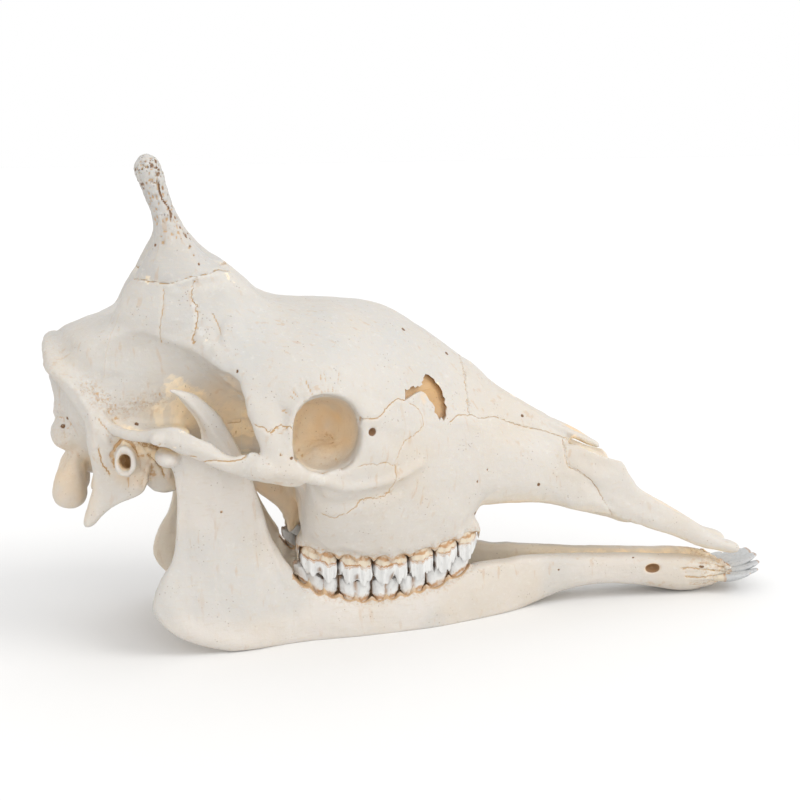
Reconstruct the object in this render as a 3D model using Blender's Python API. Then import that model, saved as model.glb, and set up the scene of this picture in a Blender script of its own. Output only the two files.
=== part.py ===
"""A giraffe's skull with its lower jaw, at life size, resting on a level surface as a museum shows it.

Run it with: blender --background --python part.py
The scene is in metres: +X points to the muzzle, +Y to the animal's left, +Z up, and the surface that it
rests on is z = 0. The tables below are in millimetres and hold the left half, which the right half mirrors.
"""

import math
import random

import bmesh
import bpy
import numpy as np
from mathutils import Euler, Matrix, Vector

MM = 0.001
SEED = 17

# How finely the bone is worked, and how many triangles each piece keeps.
VOXEL = 2.0
JAW_VOXEL = 1.6
SMOOTHING = 4
SKULL_TRIANGLES = 6400
JAW_TRIANGLES = 1500

# The thin gap where two nodes meet, and how the skull is tipped onto its jaw.
GAP = 0.3
TIP_DEGREES = 0.8
LIFT = 3.2

# Colours of the skull, the lower jaw and the horns.
BONE = (0.80, 0.74, 0.64)
JAW_BONE = (0.79, 0.73, 0.63)
HORN_BONE = (0.74, 0.70, 0.63)
ROUGHNESS = 0.55

# The skin of the cranium runs through these lines, from the nape to the muzzle. Each point is x, y, z.
ROOF_MIDDLE = (
    (-301, 0, 238), (-297, 0, 243), (-290, 0, 249), (-261, 0, 258), (-230, 0, 264), (-190, 0, 268),
    (-150, 0, 268), (-116, 0, 267), (-85, 0, 268), (-58, 0, 267), (-33, 0, 262), (-16, 0, 253), (5, 0, 240),
    (27, 0, 224), (71, 0, 188), (110, 0, 163), (126, 0, 153), (142, 0, 100), (188, 0, 75),
)
ROOF_QUARTER = (
    (-301, 12, 237), (-285, 28, 248), (-261, 36, 257), (-245, 42, 266), (-230, 47, 275), (-190, 51, 286),
    (-162, 51, 286), (-146, 50, 280), (-130, 50, 271), (-116, 52, 265), (-85, 54, 261), (-58, 50, 256),
    (-33, 43, 251), (-16, 38, 242), (5, 32, 229), (27, 27, 213), (71, 20, 181), (110, 16, 158),
    (126, 15, 148), (142, 11, 100), (188, 8, 75),
)
ROOF_SHOULDER = (
    (-301, 20, 233), (-285, 42, 240), (-261, 54, 250), (-230, 63, 262), (-203, 69, 264), (-185, 75, 258),
    (-167, 83, 249), (-150, 90, 240), (-116, 94, 237), (-85, 92, 232), (-58, 84, 226), (-33, 72, 222),
    (-16, 62, 215), (5, 53, 202), (27, 46, 187), (71, 33, 160), (110, 27, 142), (126, 25, 134),
    (142, 20, 104), (188, 14, 76),
)
UPPER_EDGE = (
    (-301, 26, 226), (-286, 53, 229), (-267, 60, 241), (-244, 63, 249), (-221, 68, 252), (-203, 74, 247),
    (-185, 82, 239), (-167, 92, 224), (-153, 100, 210), (-135, 106, 206), (-116, 109, 208), (-97, 108, 209),
    (-70, 102, 200), (-45, 92, 196), (-20, 77, 190), (5, 64, 181), (27, 55, 168), (71, 40, 147),
    (110, 32, 131), (126, 30, 124), (142, 25, 106), (188, 18, 77),
)
SIDE = (
    (-301, 30, 212), (-284, 54, 215), (-267, 60, 224), (-244, 61, 236), (-221, 64, 240), (-203, 67, 235),
    (-185, 67, 225), (-167, 63, 212), (-150, 66, 202), (-135, 94, 197), (-120, 106, 192), (-108, 110, 182),
    (-95, 111, 176), (-70, 105, 172), (-45, 94, 171), (-20, 81, 168), (5, 68, 160), (27, 57, 150),
    (71, 43, 133), (110, 34, 120), (126, 32, 116), (142, 28, 104), (188, 20, 75),
)
CHEEK = (
    (-301, 28, 200), (-282, 56, 200), (-262, 61, 204), (-230, 61, 210), (-203, 61, 208), (-180, 55, 199),
    (-150, 48, 188), (-135, 50, 184), (-120, 59, 172), (-110, 98, 147), (-95, 106, 140), (-70, 101, 138),
    (-45, 92, 138), (-20, 81, 138), (5, 69, 136), (27, 58, 131), (71, 43, 120), (110, 35, 110),
    (126, 33, 107), (142, 29, 99), (188, 21, 73),
)
FACIAL_CREST = (
    (-301, 24, 190), (-282, 52, 184), (-262, 60, 182), (-230, 56, 184), (-203, 52, 180), (-180, 46, 172),
    (-150, 42, 168), (-135, 42, 166), (-118, 44, 160), (-109, 66, 138), (-104, 84, 121), (-93, 92, 113),
    (-70, 88, 106), (-45, 82, 104), (-20, 75, 107), (5, 66, 109), (27, 56, 110), (71, 41, 108),
    (110, 34, 101), (126, 31, 98), (142, 28, 93), (188, 20, 71),
)
ALVEOLAR_OUTER = (
    (-301, 18, 186), (-282, 40, 168), (-260, 50, 160), (-230, 46, 156), (-203, 42, 154), (-180, 36, 153),
    (-150, 34, 152), (-130, 34, 150), (-114, 38, 138), (-109, 50, 115), (-105.5, 61, 78), (-95, 63, 71.5),
    (-78, 64.5, 67), (-49, 64.5, 63.5), (-23, 61.5, 62), (-3, 57.5, 65), (12, 54, 67.5), (24, 50, 72),
    (38, 42, 74.5), (43, 38, 95), (52, 37, 96), (71, 34, 95), (104, 28, 92), (126, 27, 87), (142, 25, 83),
    (188, 18, 68),
)
ALVEOLAR_INNER = (
    (-301, 12, 184), (-282, 28, 155), (-260, 34, 147), (-230, 32, 145), (-203, 30, 145), (-150, 26, 146),
    (-130, 26, 144), (-114, 30, 130), (-108, 36, 105), (-105, 40, 80), (-95, 40, 74), (-78, 39, 69),
    (-49, 39, 65), (-19, 37, 65), (3, 35, 68), (24, 32, 74), (38, 30, 78), (44, 29, 95), (71, 24, 95),
    (110, 20, 91), (126, 19, 86), (142, 18, 81), (188, 12, 67),
)
PALATE_SIDE = (
    (-301, 6, 182), (-282, 16, 148), (-260, 18, 141), (-203, 18, 140), (-150, 14, 142), (-130, 14, 140),
    (-116, 18, 124), (-106, 31, 102), (-70, 32, 92), (-45, 32, 90), (-20, 31, 92), (5, 29, 95),
    (40, 22, 99), (71, 16, 99), (110, 11, 94), (142, 9, 83), (188, 6, 68),
)
PALATE_MIDDLE = (
    (-301, 0, 182), (-282, 0, 147), (-260, 0, 140), (-203, 0, 138), (-150, 0, 141), (-130, 0, 138),
    (-116, 0, 122), (-106, 0, 106), (-70, 0, 97), (-45, 0, 95), (-20, 0, 97), (5, 0, 100), (40, 0, 103),
    (71, 0, 102), (110, 0, 96), (142, 0, 84), (188, 0, 69),
)
CRANIUM_LINES = (
    ROOF_MIDDLE, ROOF_QUARTER, ROOF_SHOULDER, UPPER_EDGE, SIDE, CHEEK, FACIAL_CREST, ALVEOLAR_OUTER,
    ALVEOLAR_INNER, PALATE_SIDE, PALATE_MIDDLE,
)
SECTION_STEP = 3.0

# Bars of bone. Each point is x, y, z, half width, half height.
NUCHAL_CREST = (
    (-301, -3, 239, 5, 5), (-301, 14, 239, 5, 5), (-299, 30, 237, 6, 5.5), (-296, 46, 228, 7, 6),
    (-287, 57, 218, 8, 5.5), (-275, 63, 203, 9, 5.5),
    (-264, 65, 185, 10, 5.5), (-263, 64, 168, 10, 6), (-262, 61, 150, 8, 6),
)
ARCH = (
    (-258, 64, 180, 4, 5), (-238, 80, 175, 4, 4.5), (-220, 92, 176, 4, 6), (-203, 100, 175, 4, 10),
    (-187, 104, 167, 4, 9), (-168, 107, 156.5, 4.5, 7), (-150, 109, 154, 5, 9), (-132, 110, 152, 6, 11),
    (-112, 109, 146, 6, 9),
)
POSTORBITAL_BAR = (
    (-140, 84, 232, 26, 8), (-137, 98, 208, 21, 7), (-134, 105, 190, 16.5, 5.5), (-131, 109, 170, 13, 5.5),
    (-130, 110, 157, 13, 6),
)
ORBIT_RIM = (
    (-119, 111, 160), (-120, 111, 176), (-118, 111, 192), (-111, 110, 203), (-98, 108, 209), (-84, 104, 206),
    (-71, 100, 196), (-63, 97, 180), (-63, 97, 163), (-72, 99, 149), (-87, 103, 141), (-103, 108, 142),
    (-114, 110, 149),
)
RIM_RADIUS = 3.6
SKULL_BASE = (
    (-285, 0, 142, 22, 12), (-225, 0, 140, 18, 11), (-165, 0, 142, 14, 12), (-105, 0, 138, 14, 20),
)
PREMAXILLA = (
    (112, 28, 112, 5, 20), (123, 29, 114, 5, 28), (135, 28.5, 114, 5, 30), (150, 27.5, 109, 5, 29.5),
    (160, 27, 103, 5, 26.5),
    (170, 26.5, 95.5, 5, 20.5), (186, 25, 85, 5, 15.5), (208, 23, 74, 5, 12.5), (228, 21.5, 64.5, 5, 10.5),
    (247, 20, 54, 5.5, 9), (264, 18.5, 46, 7, 6), (284, 15, 39.5, 10, 3.4),
)
PREMAXILLA_SHELF = (
    (125, 8, 90, 5, 3), (160, 8, 81, 5, 2.8), (200, 8, 68, 5, 2.8), (240, 8, 52, 5, 2.8), (276, 8, 40, 6, 2.8),
)
PREMAXILLA_LEAN = (0, 1, 0.12)
NASAL = (
    (60, 9, 190, 9, 3.5), (85, 9, 175, 9, 3), (110, 9.5, 160.5, 9.5, 2.8), (126, 10, 152, 10, 2.7),
    (140, 9.5, 144.5, 9.5, 2.6), (153, 9, 138, 7, 2.4), (166, 8, 131.5, 3.5, 2),
)
CONDYLE = (
    (-277, 22, 161, 5, 8), (-282, 25, 148, 7, 12), (-287, 26, 133, 11.5, 14), (-289, 24, 120, 13.5, 14.5),
    (-290, 21, 112, 12, 13),
)
EAR_TUBE = ((-236, 45, 150, 9, 10), (-244, 84, 155.5, 8.2, 12.5))
EAR_HOLE = ((-240, 56, 152, 5, 6.5), (-246, 97, 156, 5.2, 9))
FORAMEN_MAGNUM = ((-330, 0, 148, 15, 14), (-262, 0, 156, 14, 13))
CHOANA = ((-170, 9, 118, 8, 12), (-70, 10, 116, 8, 10))
JAW_SOCKET = ((-216, 45, 172, 20, 6), (-206, 99, 175, 17, 4.5))
HORN = (
    (-189, 49, 262, 27, 62), (-188.5, 50, 272, 25, 57), (-190.5, 52, 281, 22.5, 50), (-193, 54, 291, 19.5, 40.5),
    (-199, 56.5, 304, 16, 27.5), (-202.5, 58.5, 321, 11.6, 14.8), (-208.5, 60, 341, 9.4, 9.6),
    (-215, 61, 361, 9.8, 10.2), (-219.5, 62, 375, 10.0, 10.2),
)

# Rounded masses: centre, half sizes, and turns about X, Y and Z in degrees.
OCCIPUT = ((-266, 0, 186), (28, 54, 50), (0, 0, 0))
EXOCCIPITAL = ((-286, 24, 168), (16, 18, 15), (0, 0, 0))
MASTOID = ((-242, 57, 160), (27, 12, 22), (0, 0, 0))
BULLA = ((-217, 42, 141), (17, 12, 18), (0, 0, 0))
BULLA_FOOT = ((-214, 46, 127), (13, 7, 6), (0, 0, 0))
JAW_CONDYLE = ((-211, 83, 158), (10, 18, 7), (0, 0, 0))
# The thin swollen bone in the floor of the eye socket, which is added after the sockets are hollowed.
ORBIT_FLOOR = ((-86, 58, 138), (33, 24, 25), (0, 0, 0))
# Rounded hollows, in the same way.
ORBIT_BACK = ((-130, 78, 176), (30, 20, 22), (0, 0, 0))
TEMPORAL_RECESS = ((-176, 86, 194), (34, 24, 33), (0, 12, 0))
LACRIMAL_NOTCH = ((-52, 104, 176), (5, 8, 4), (0, 0, 0))
NUCHAL_HOLLOW = ((-321, 0, 201), (31, 48, 25), (0, 0, 0))

# Plates of bone, as x and z.
PTERYGOID = (
    (-172, 140), (-152, 122), (-134, 107), (-124, 98), (-117, 88), (-114.5, 75.5), (-112.5, 75), (-104, 85),
    (-99, 95), (-100, 128), (-140, 150),
)
PTERYGOID_INNER, PTERYGOID_OUTER = 17, 22
PARACONDYLAR = (
    (-267, 162), (-268, 137), (-274, 113), (-277, 101), (-271, 101), (-261, 110), (-244, 120), (-229, 128),
    (-228, 160),
)
PARACONDYLAR_INNER, PARACONDYLAR_OUTER = 55, 64

# Openings.
ORBIT = (
    (-89, 135, 176, 27, 31), (-90, 108, 175, 27, 31), (-94, 86, 173, 27, 28), (-102, 60, 170, 20, 20),
)
NASAL_CAVITY = (
    (200, 0, 112, 19, 16), (160, 0, 116, 23, 22), (120, 0, 123, 26, 24), (80, 0, 135, 24, 24),
    (40, 0, 148, 16, 18),
)
FACE_GAP = ((-24, 202), (-6, 209), (3, 206), (11, 192), (9, 176), (2, 182), (-4, 189), (-20, 191))
FACE_GAP_INNER, FACE_GAP_OUTER = 42, 110

# Where the nodes part. Corners are x and z, and each cut has an inner and an outer y.
HORN_CUT = ((-260, 293), (-194, 287), (-120, 297), (-120, 420), (-290, 420))
HORN_INNER, HORN_OUTER = 10, 110
NASAL_CUT = (
    (36, 207), (62, 184), (90, 166), (118, 150), (126, 145), (140, 134), (175, 118), (175, 160), (100, 190),
    (36, 240),
)
NASAL_HALF_WIDTH = 23
PREMAXILLA_CUT = (
    (122, 144), (125, 128), (129, 120), (145, 106), (154, 95), (177, 80), (191, 69), (196, 40), (310, 20),
    (310, 80), (200, 150), (140, 160),
)
PREMAXILLA_OUTER = 70
ARCH_CUT = ((-202, 138), (-152, 138), (-152, 196), (-202, 196))
ARCH_INNER, ARCH_OUTER = 92, 130
BRAINCASE_CUT = (
    (-340, 60), (-152, 60), (-152, 196), (-166, 215), (-178, 240), (-186, 262), (-187, 330), (-340, 330),
)

# The lower jaw: the side outline of one half as x and z, then where its wall runs as x, y, half thickness.
JAW_OUTLINE = (
    (-221, 157), (-214, 165), (-201, 161), (-189, 163), (-188, 180), (-200, 199), (-209, 210), (-192, 206),
    (-175, 192), (-163, 172), (-151, 146), (-142, 118), (-133, 87), (-119, 61), (-104, 45), (-77, 30),
    (-50, 25), (-26, 28), (-3, 31), (17, 35), (36, 42.5), (56, 44.5), (72, 43), (88, 43.5), (124, 41.5),
    (160, 39), (207, 36), (237, 33.5), (262, 30), (276, 23), (272, 11), (262, 3), (246, -1), (228, 1),
    (212, 5), (194, 9), (174, 12), (156, 12.8), (140, 11.5), (122, 8), (104, 3), (88, -1.5), (70, -5),
    (35, -7), (8, -7.5), (-27, -8), (-61, -8),
    (-90, -7), (-122, -6.4), (-152, -5.6), (-174, -2), (-193, 4), (-211, 14), (-225, 32), (-222, 52), (-210, 78),
    (-206, 115), (-208, 146),
)
JAW_RUN = (
    (-230, 78, 4.5), (-190, 76, 4.5), (-150, 71, 5), (-125, 63, 7), (-100, 55.5, 10), (-50, 50.5, 11.5),
    (0, 45, 11), (40, 35.5, 9), (58, 30.5, 8.2), (78, 23.5, 7.8), (100, 17.5, 7.6), (125, 13.4, 8),
    (150, 11.6, 8.8), (180, 11, 9.8), (210, 11.4, 11), (240, 12.4, 12), (265, 13.4, 13), (290, 14, 13.6),
)
JAW_BLANK = 10.0
JAW_ROUNDING = 9.0
EDGE_SHARE = 0.35
# The chin's underside is a keel: from this x forwards its outer part rises, over this height and width.
KEEL_START, KEEL_FULL, KEEL_HEIGHT, KEEL_LIFT, KEEL_INNER, KEEL_WIDTH = 175, 215, 20, 5.5, 3, 16

# Cheek teeth. The height at which the rows meet, as x and z. Then where each tooth ends, from the rear,
# and the row as x, middle y, half width, neck z and height of the outer points.
BITE = (
    (-124, 67), (-110, 59), (-92, 50.8), (-76, 46.8), (-62, 45), (-37, 44), (-14, 45.5), (10, 50), (31, 58.5),
    (50, 70),
)
UPPER_ENDS = (-109, -78, -49, -19, 3, 24, 42)
UPPER_ROW = (
    (-110, 51, 12.5, 75, 52), (-92, 51.5, 13.5, 70, 41.5), (-62, 51.5, 13.5, 64, 35), (-35, 50.5, 13, 62, 33.5),
    (-8, 47.5, 12, 64.5, 35), (13, 44, 11, 68, 41), (34, 39.5, 9, 74, 53), (43, 37, 7, 75, 58),
)
LOWER_ENDS = (-114, -77, -50, -26, -3, 17, 37)
LOWER_ROW = (
    (-115, 50.5, 6, 50), (-95, 51.5, 6.8, 36), (-63, 51.6, 7.4, 26.5), (-38, 49.8, 7.4, 26), (-14, 47, 7, 29.5),
    (7, 42.8, 6.4, 32.5), (28, 37.6, 5.2, 40), (38, 34.5, 4.4, 45),
)
ROOT_DEPTH = 10
UPPER_LOBES = (2, 2, 2, 1, 1, 1)
LOWER_LOBES = (3, 2, 2, 2, 1, 1)
# The pillar of each lobe at its root, middle and biting face: shares of its length and of its width.
PILLAR = ((0.86, 0.8), (1.04, 1.0), (0.98, 0.9))
PILLAR_SHARE, PILLAR_SQUARE = 0.52, 3.2
# The pointed outer wall of an upper lobe, from its top to its point: a share of the pillar's length, half
# thickness, and how far out it stands.
BLADE = ((0.55, 2.2, -0.4), (0.95, 2.6, 0.5), (1.0, 2.1, 0.6), (0.2, 0.8, 0.3))
BLADE_INSET, BLADE_ROOT = 2.3, 3.0
# Chance differences between teeth.
LENGTH_SPREAD, LEAN_SPREAD, POINT_SPREAD = 0.015, 0.4, 0.6

# Front teeth of one half: root x, y, z, then tip x, y, z, and half width of the blade.
FRONT_TEETH = (
    (266, 5.8, 21, 309, 5.9, 34, 5.5), (265, 11.5, 20, 307, 15.6, 34, 5.0),
    (263, 17, 20, 302, 24.0, 34, 4.6), (259, 21.5, 21, 293, 31.0, 34.5, 5.2),
)
# A front tooth from root to tip: share of its length, share of its half width, half thickness and rise.
FRONT_SHAPE = (
    (0, 0.62, 3.0, 0), (0.35, 0.72, 3.0, -1.4), (0.6, 1.0, 2.8, -2.2), (0.88, 1.02, 2.1, -1.2),
    (1.0, 0.72, 0.8, 0),
)

# Further out than any bone, for cutters that take away one side.
FAR = 400


# Tools for shapes.

def spline(knots, per_span=5):
    """Points on a smooth curve through the knots, each of which holds any number of values."""
    k = np.array(knots, float)
    k = np.vstack([2 * k[0] - k[1], k, 2 * k[-1] - k[-2]])
    points = []
    for i in range(1, len(k) - 2):
        for step in range(per_span):
            t = step / per_span
            points.append(0.5 * (2 * k[i] + (k[i + 1] - k[i - 1]) * t
                                 + (2 * k[i - 1] - 5 * k[i] + 4 * k[i + 1] - k[i + 2]) * t ** 2
                                 + (3 * k[i] - k[i - 1] - 3 * k[i + 1] + k[i + 2]) * t ** 3))
    points.append(k[-2])
    return np.array(points)


def ring_spline(knots, per_span=4):
    """Points on a smooth closed curve through the knots."""
    k = np.array(knots, float)
    closed = np.vstack([k[-1], k, k[0], k[1]])
    return spline(closed, per_span)[per_span:-per_span - 1]


def along(line, at):
    """The other columns of a line where its first column is at, smooth and with no overshoot."""
    k = np.array(line, float)
    x, v = k[:, 0], k[:, 1:]
    at = np.atleast_1d(np.asarray(at, float))
    rise = np.diff(v, axis=0) / np.diff(x)[:, None]
    slope = np.zeros_like(v)
    before, after = rise[:-1], rise[1:]
    same = before * after > 0
    total = np.where(same, before + after, 1)
    slope[1:-1] = np.where(same, 2 * before * after / total, 0)
    slope[0], slope[-1] = rise[0], rise[-1]
    i = np.clip(np.searchsorted(x, at) - 1, 0, len(x) - 2)
    h = (x[i + 1] - x[i])[:, None]
    t = np.clip((at - x[i])[:, None] / h, 0, 1)
    return ((1 + 2 * t) * (1 - t) ** 2 * v[i] + t * (1 - t) ** 2 * h * slope[i]
            + t ** 2 * (3 - 2 * t) * v[i + 1] + t ** 2 * (t - 1) * h * slope[i + 1])


def material(name, colour):
    """A Principled BSDF in the part's colour."""
    made = bpy.data.materials.get(name)
    if made is None:
        made = bpy.data.materials.new(name)
        made.use_nodes = True
        shader = made.node_tree.nodes["Principled BSDF"]
        shader.inputs["Base Color"].default_value = (*colour, 1.0)
        shader.inputs["Roughness"].default_value = ROUGHNESS
        shader.inputs["Metallic"].default_value = 0.0
    return made


def finished(mesh, name):
    """Turns a bmesh in millimetres into an object in metres with its faces pointing out."""
    bmesh.ops.scale(mesh, verts=mesh.verts, vec=(MM, MM, MM))
    bmesh.ops.recalc_face_normals(mesh, faces=mesh.faces)
    data = bpy.data.meshes.new(name)
    mesh.to_mesh(data)
    mesh.free()
    made = bpy.data.objects.new(name, data)
    bpy.context.scene.collection.objects.link(made)
    return made


def bridged(rings, name, hoop=False):
    """A closed skin over rings of points. A hoop joins its last ring to its first."""
    mesh = bmesh.new()
    loops = [[mesh.verts.new(p) for p in ring] for ring in rings]
    count = len(loops[0])
    spans = list(zip(loops, loops[1:]))
    if hoop:
        spans.append((loops[-1], loops[0]))
    for low, high in spans:
        for i in range(count):
            j = (i + 1) % count
            mesh.faces.new((low[i], low[j], high[j], high[i]))
    if not hoop:
        mesh.faces.new(loops[0])
        mesh.faces.new(loops[-1])
    return finished(mesh, name)


def section(centre, side, up, half_width, half_height, sides, square=2.0, start=0.0):
    """Points round one cross section: an ellipse at square 2, nearer a rectangle above that."""
    ring = []
    for i in range(sides):
        angle = math.tau * (i + start) / sides
        c, s = math.cos(angle), math.sin(angle)
        a = math.copysign(abs(c) ** (2 / square), c) * half_width
        b = math.copysign(abs(s) ** (2 / square), s) * half_height
        ring.append(centre + side * a + up * b)
    return ring


def limb(name, knots, across=(0, 1, 0), sides=16, square=2.0, round_ends=False, per_span=5, start=0.0,
         level=False):
    """A bar along a smooth path. Each knot is x, y, z, half width along across, half height.

    Its cross sections stand square to the path, or lie level.
    """
    rows = spline(knots, per_span) if per_span > 1 else np.array(knots, float)
    path = [Vector(r[:3]) for r in rows]
    last = len(path) - 1
    stations = []
    for i, row in enumerate(rows):
        tangent = (path[min(i + 1, last)] - path[max(i - 1, 0)]).normalized()
        tangent = Vector((0, 0, 1)) if level else tangent
        stations.append((path[i], tangent, (row[3], row[4])))
    if round_ends:
        for at, way in ((0, -1), (-1, 1)):
            centre, tangent, size = stations[at]
            caps = []
            for angle in (25, 50, 75):
                lift, shrink = math.sin(math.radians(angle)), math.cos(math.radians(angle))
                moved = centre + tangent * way * min(size) * lift
                caps.append((moved, tangent, (size[0] * shrink, size[1] * shrink)))
            stations = caps[::-1] + stations if way < 0 else stations + caps
    rings = []
    for centre, tangent, (half_width, half_height) in stations:
        side = Vector(across)
        side = (side - tangent * side.dot(tangent)).normalized()
        rings.append(section(centre, side, tangent.cross(side), half_width, half_height, sides, square, start))
    return bridged(rings, name)


def hoop(name, knots, radius, sides=8):
    """A closed ring of round bar through the knots."""
    path = [Vector(p) for p in ring_spline(knots)]
    middle = sum(path, Vector()) / len(path)
    rings = []
    for i, centre in enumerate(path):
        tangent = (path[(i + 1) % len(path)] - path[i - 1]).normalized()
        outward = centre - middle
        side = (outward - tangent * outward.dot(tangent)).normalized()
        rings.append(section(centre, side, tangent.cross(side), radius, radius, sides))
    return bridged(rings, name, hoop=True)


def lump(name, centre, radii, turn=(0, 0, 0)):
    """An egg with the given half sizes, turned by degrees about X, Y and Z."""
    mesh = bmesh.new()
    bmesh.ops.create_icosphere(mesh, subdivisions=3, radius=1.0)
    turned = Euler([math.radians(a) for a in turn]).to_matrix().to_4x4()
    placed = Matrix.Translation(centre) @ turned @ Matrix.Diagonal((*radii, 1))
    bmesh.ops.transform(mesh, verts=mesh.verts, matrix=placed)
    return finished(mesh, name)


def slab(name, outline, inner, outer, rounded=True):
    """A plate with an outline in X and Z, from y = inner to y = outer."""
    points = ring_spline(outline) if rounded else outline
    return bridged([[Vector((x, y, z)) for x, z in points] for y in (inner, outer)], name)


def lofted(name, lines, step, across=3):
    """A symmetrical skin through lines that run along X, from the middle of the top to that of the bottom."""
    first, last = lines[0][0][0], lines[0][-1][0]
    at = np.linspace(first, last, int((last - first) / step) + 1)
    tracks = [along(line, at) for line in lines]
    rings = []
    for i, x in enumerate(at):
        left = [track[i] for track in tracks]
        right = [(-y, z) for y, z in left[-2:0:-1]]
        rings.append([Vector((x, y, z)) for y, z in ring_spline([*left, *right], across)])
    return bridged(rings, name)


def mirrored(piece, name=None):
    """A copy of the piece on the other side of the skull."""
    data = piece.data.copy()
    data.transform(Matrix.Scale(-1, 4, (0, 1, 0)))
    data.flip_normals()
    made = bpy.data.objects.new(name or piece.name + "_other", data)
    bpy.context.scene.collection.objects.link(made)
    return made


def both(*pieces):
    """The pieces and their mirror images."""
    return [*pieces, *(mirrored(p) for p in pieces)]


# Tools for joining and cutting.

def remove(*objects):
    """Takes helpers out of the scene."""
    for item in objects:
        bpy.data.objects.remove(item)


def joined(name, pieces):
    """One object that holds the meshes of all the pieces, which are removed."""
    mesh = bmesh.new()
    for piece in pieces:
        mesh.from_mesh(piece.data)
    remove(*pieces)
    data = bpy.data.meshes.new(name)
    mesh.to_mesh(data)
    mesh.free()
    made = bpy.data.objects.new(name, data)
    bpy.context.scene.collection.objects.link(made)
    return made


def apply_modifiers(item):
    """Makes the evaluated mesh the object's own."""
    bpy.context.view_layer.update()
    evaluated = item.evaluated_get(bpy.context.evaluated_depsgraph_get())
    data = bpy.data.meshes.new_from_object(evaluated)
    item.modifiers.clear()
    item.data = data


def remesh(item, voxel):
    """Fuses what overlaps in the object into one even skin."""
    skin = item.modifiers.new("skin", "REMESH")
    skin.mode = "VOXEL"
    skin.voxel_size = voxel * MM
    skin.use_smooth_shade = True
    apply_modifiers(item)


def combine(item, other, operation, solver="EXACT"):
    """Applies one Boolean to the object and removes the other shape."""
    change = item.modifiers.new("change", "BOOLEAN")
    change.operation = operation
    change.solver = solver
    change.object = other
    apply_modifiers(item)
    remove(other)


def unite(item, pieces):
    """Joins closed pieces to the object with one Boolean over a collection."""
    group = bpy.data.collections.new(item.name + "_pieces")
    bpy.context.scene.collection.children.link(group)
    for piece in pieces:
        bpy.context.scene.collection.objects.unlink(piece)
        group.objects.link(piece)
    change = item.modifiers.new("unite", "BOOLEAN")
    change.operation = "UNION"
    change.solver = "EXACT"
    change.operand_type = "COLLECTION"
    change.collection = group
    apply_modifiers(item)
    remove(*pieces)
    bpy.data.collections.remove(group)


def copied(item, name):
    """A second object with the same shape."""
    made = bpy.data.objects.new(name, item.data.copy())
    bpy.context.scene.collection.objects.link(made)
    return made


def smooth(item, rounds, factor=0.5):
    """Softens the skin all over."""
    even = item.modifiers.new("smooth", "SMOOTH")
    even.iterations = rounds
    even.factor = factor
    apply_modifiers(item)


def thin_out(item, faces):
    """Leaves about this many triangles, more of them where the form turns."""
    count = sum(len(p.vertices) - 2 for p in item.data.polygons)
    fewer = item.modifiers.new("fewer", "DECIMATE")
    fewer.ratio = min(1.0, faces / count)
    apply_modifiers(item)


def keep_largest(item):
    """Drops every closed surface of the object but the largest."""
    mesh = bmesh.new()
    mesh.from_mesh(item.data)
    left = set(mesh.verts)
    islands = []
    while left:
        island, front = set(), [left.pop()]
        while front:
            vert = front.pop()
            island.add(vert)
            for edge in vert.link_edges:
                other = edge.other_vert(vert)
                if other in left:
                    left.remove(other)
                    front.append(other)
        islands.append(island)
    islands.sort(key=len)
    for island in islands[:-1]:
        bmesh.ops.delete(mesh, geom=list(island), context="VERTS")
    mesh.to_mesh(item.data)
    mesh.free()


def claim(skull, name, shape, allowance):
    """Parts a node from the skull: what lies inside the shape, less a thin gap round it."""
    node = copied(skull, name)
    combine(node, shape(0), "INTERSECT")
    combine(skull, shape(allowance), "DIFFERENCE")
    keep_largest(node)
    return node


def fuse(name, solids, hollows, inlays, voxel):
    """One bone from overlapping solids, less the hollows, plus what swells into them, with softened edges."""
    bone = joined(name, solids)
    remesh(bone, voxel)
    space = joined(name + "_hollows", hollows)
    remesh(space, voxel)
    combine(bone, space, "DIFFERENCE", "MANIFOLD")
    bone = joined(name, [bone, *inlays])
    remesh(bone, voxel)
    smooth(bone, SMOOTHING)
    keep_largest(bone)
    return bone


# The cranium.

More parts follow.
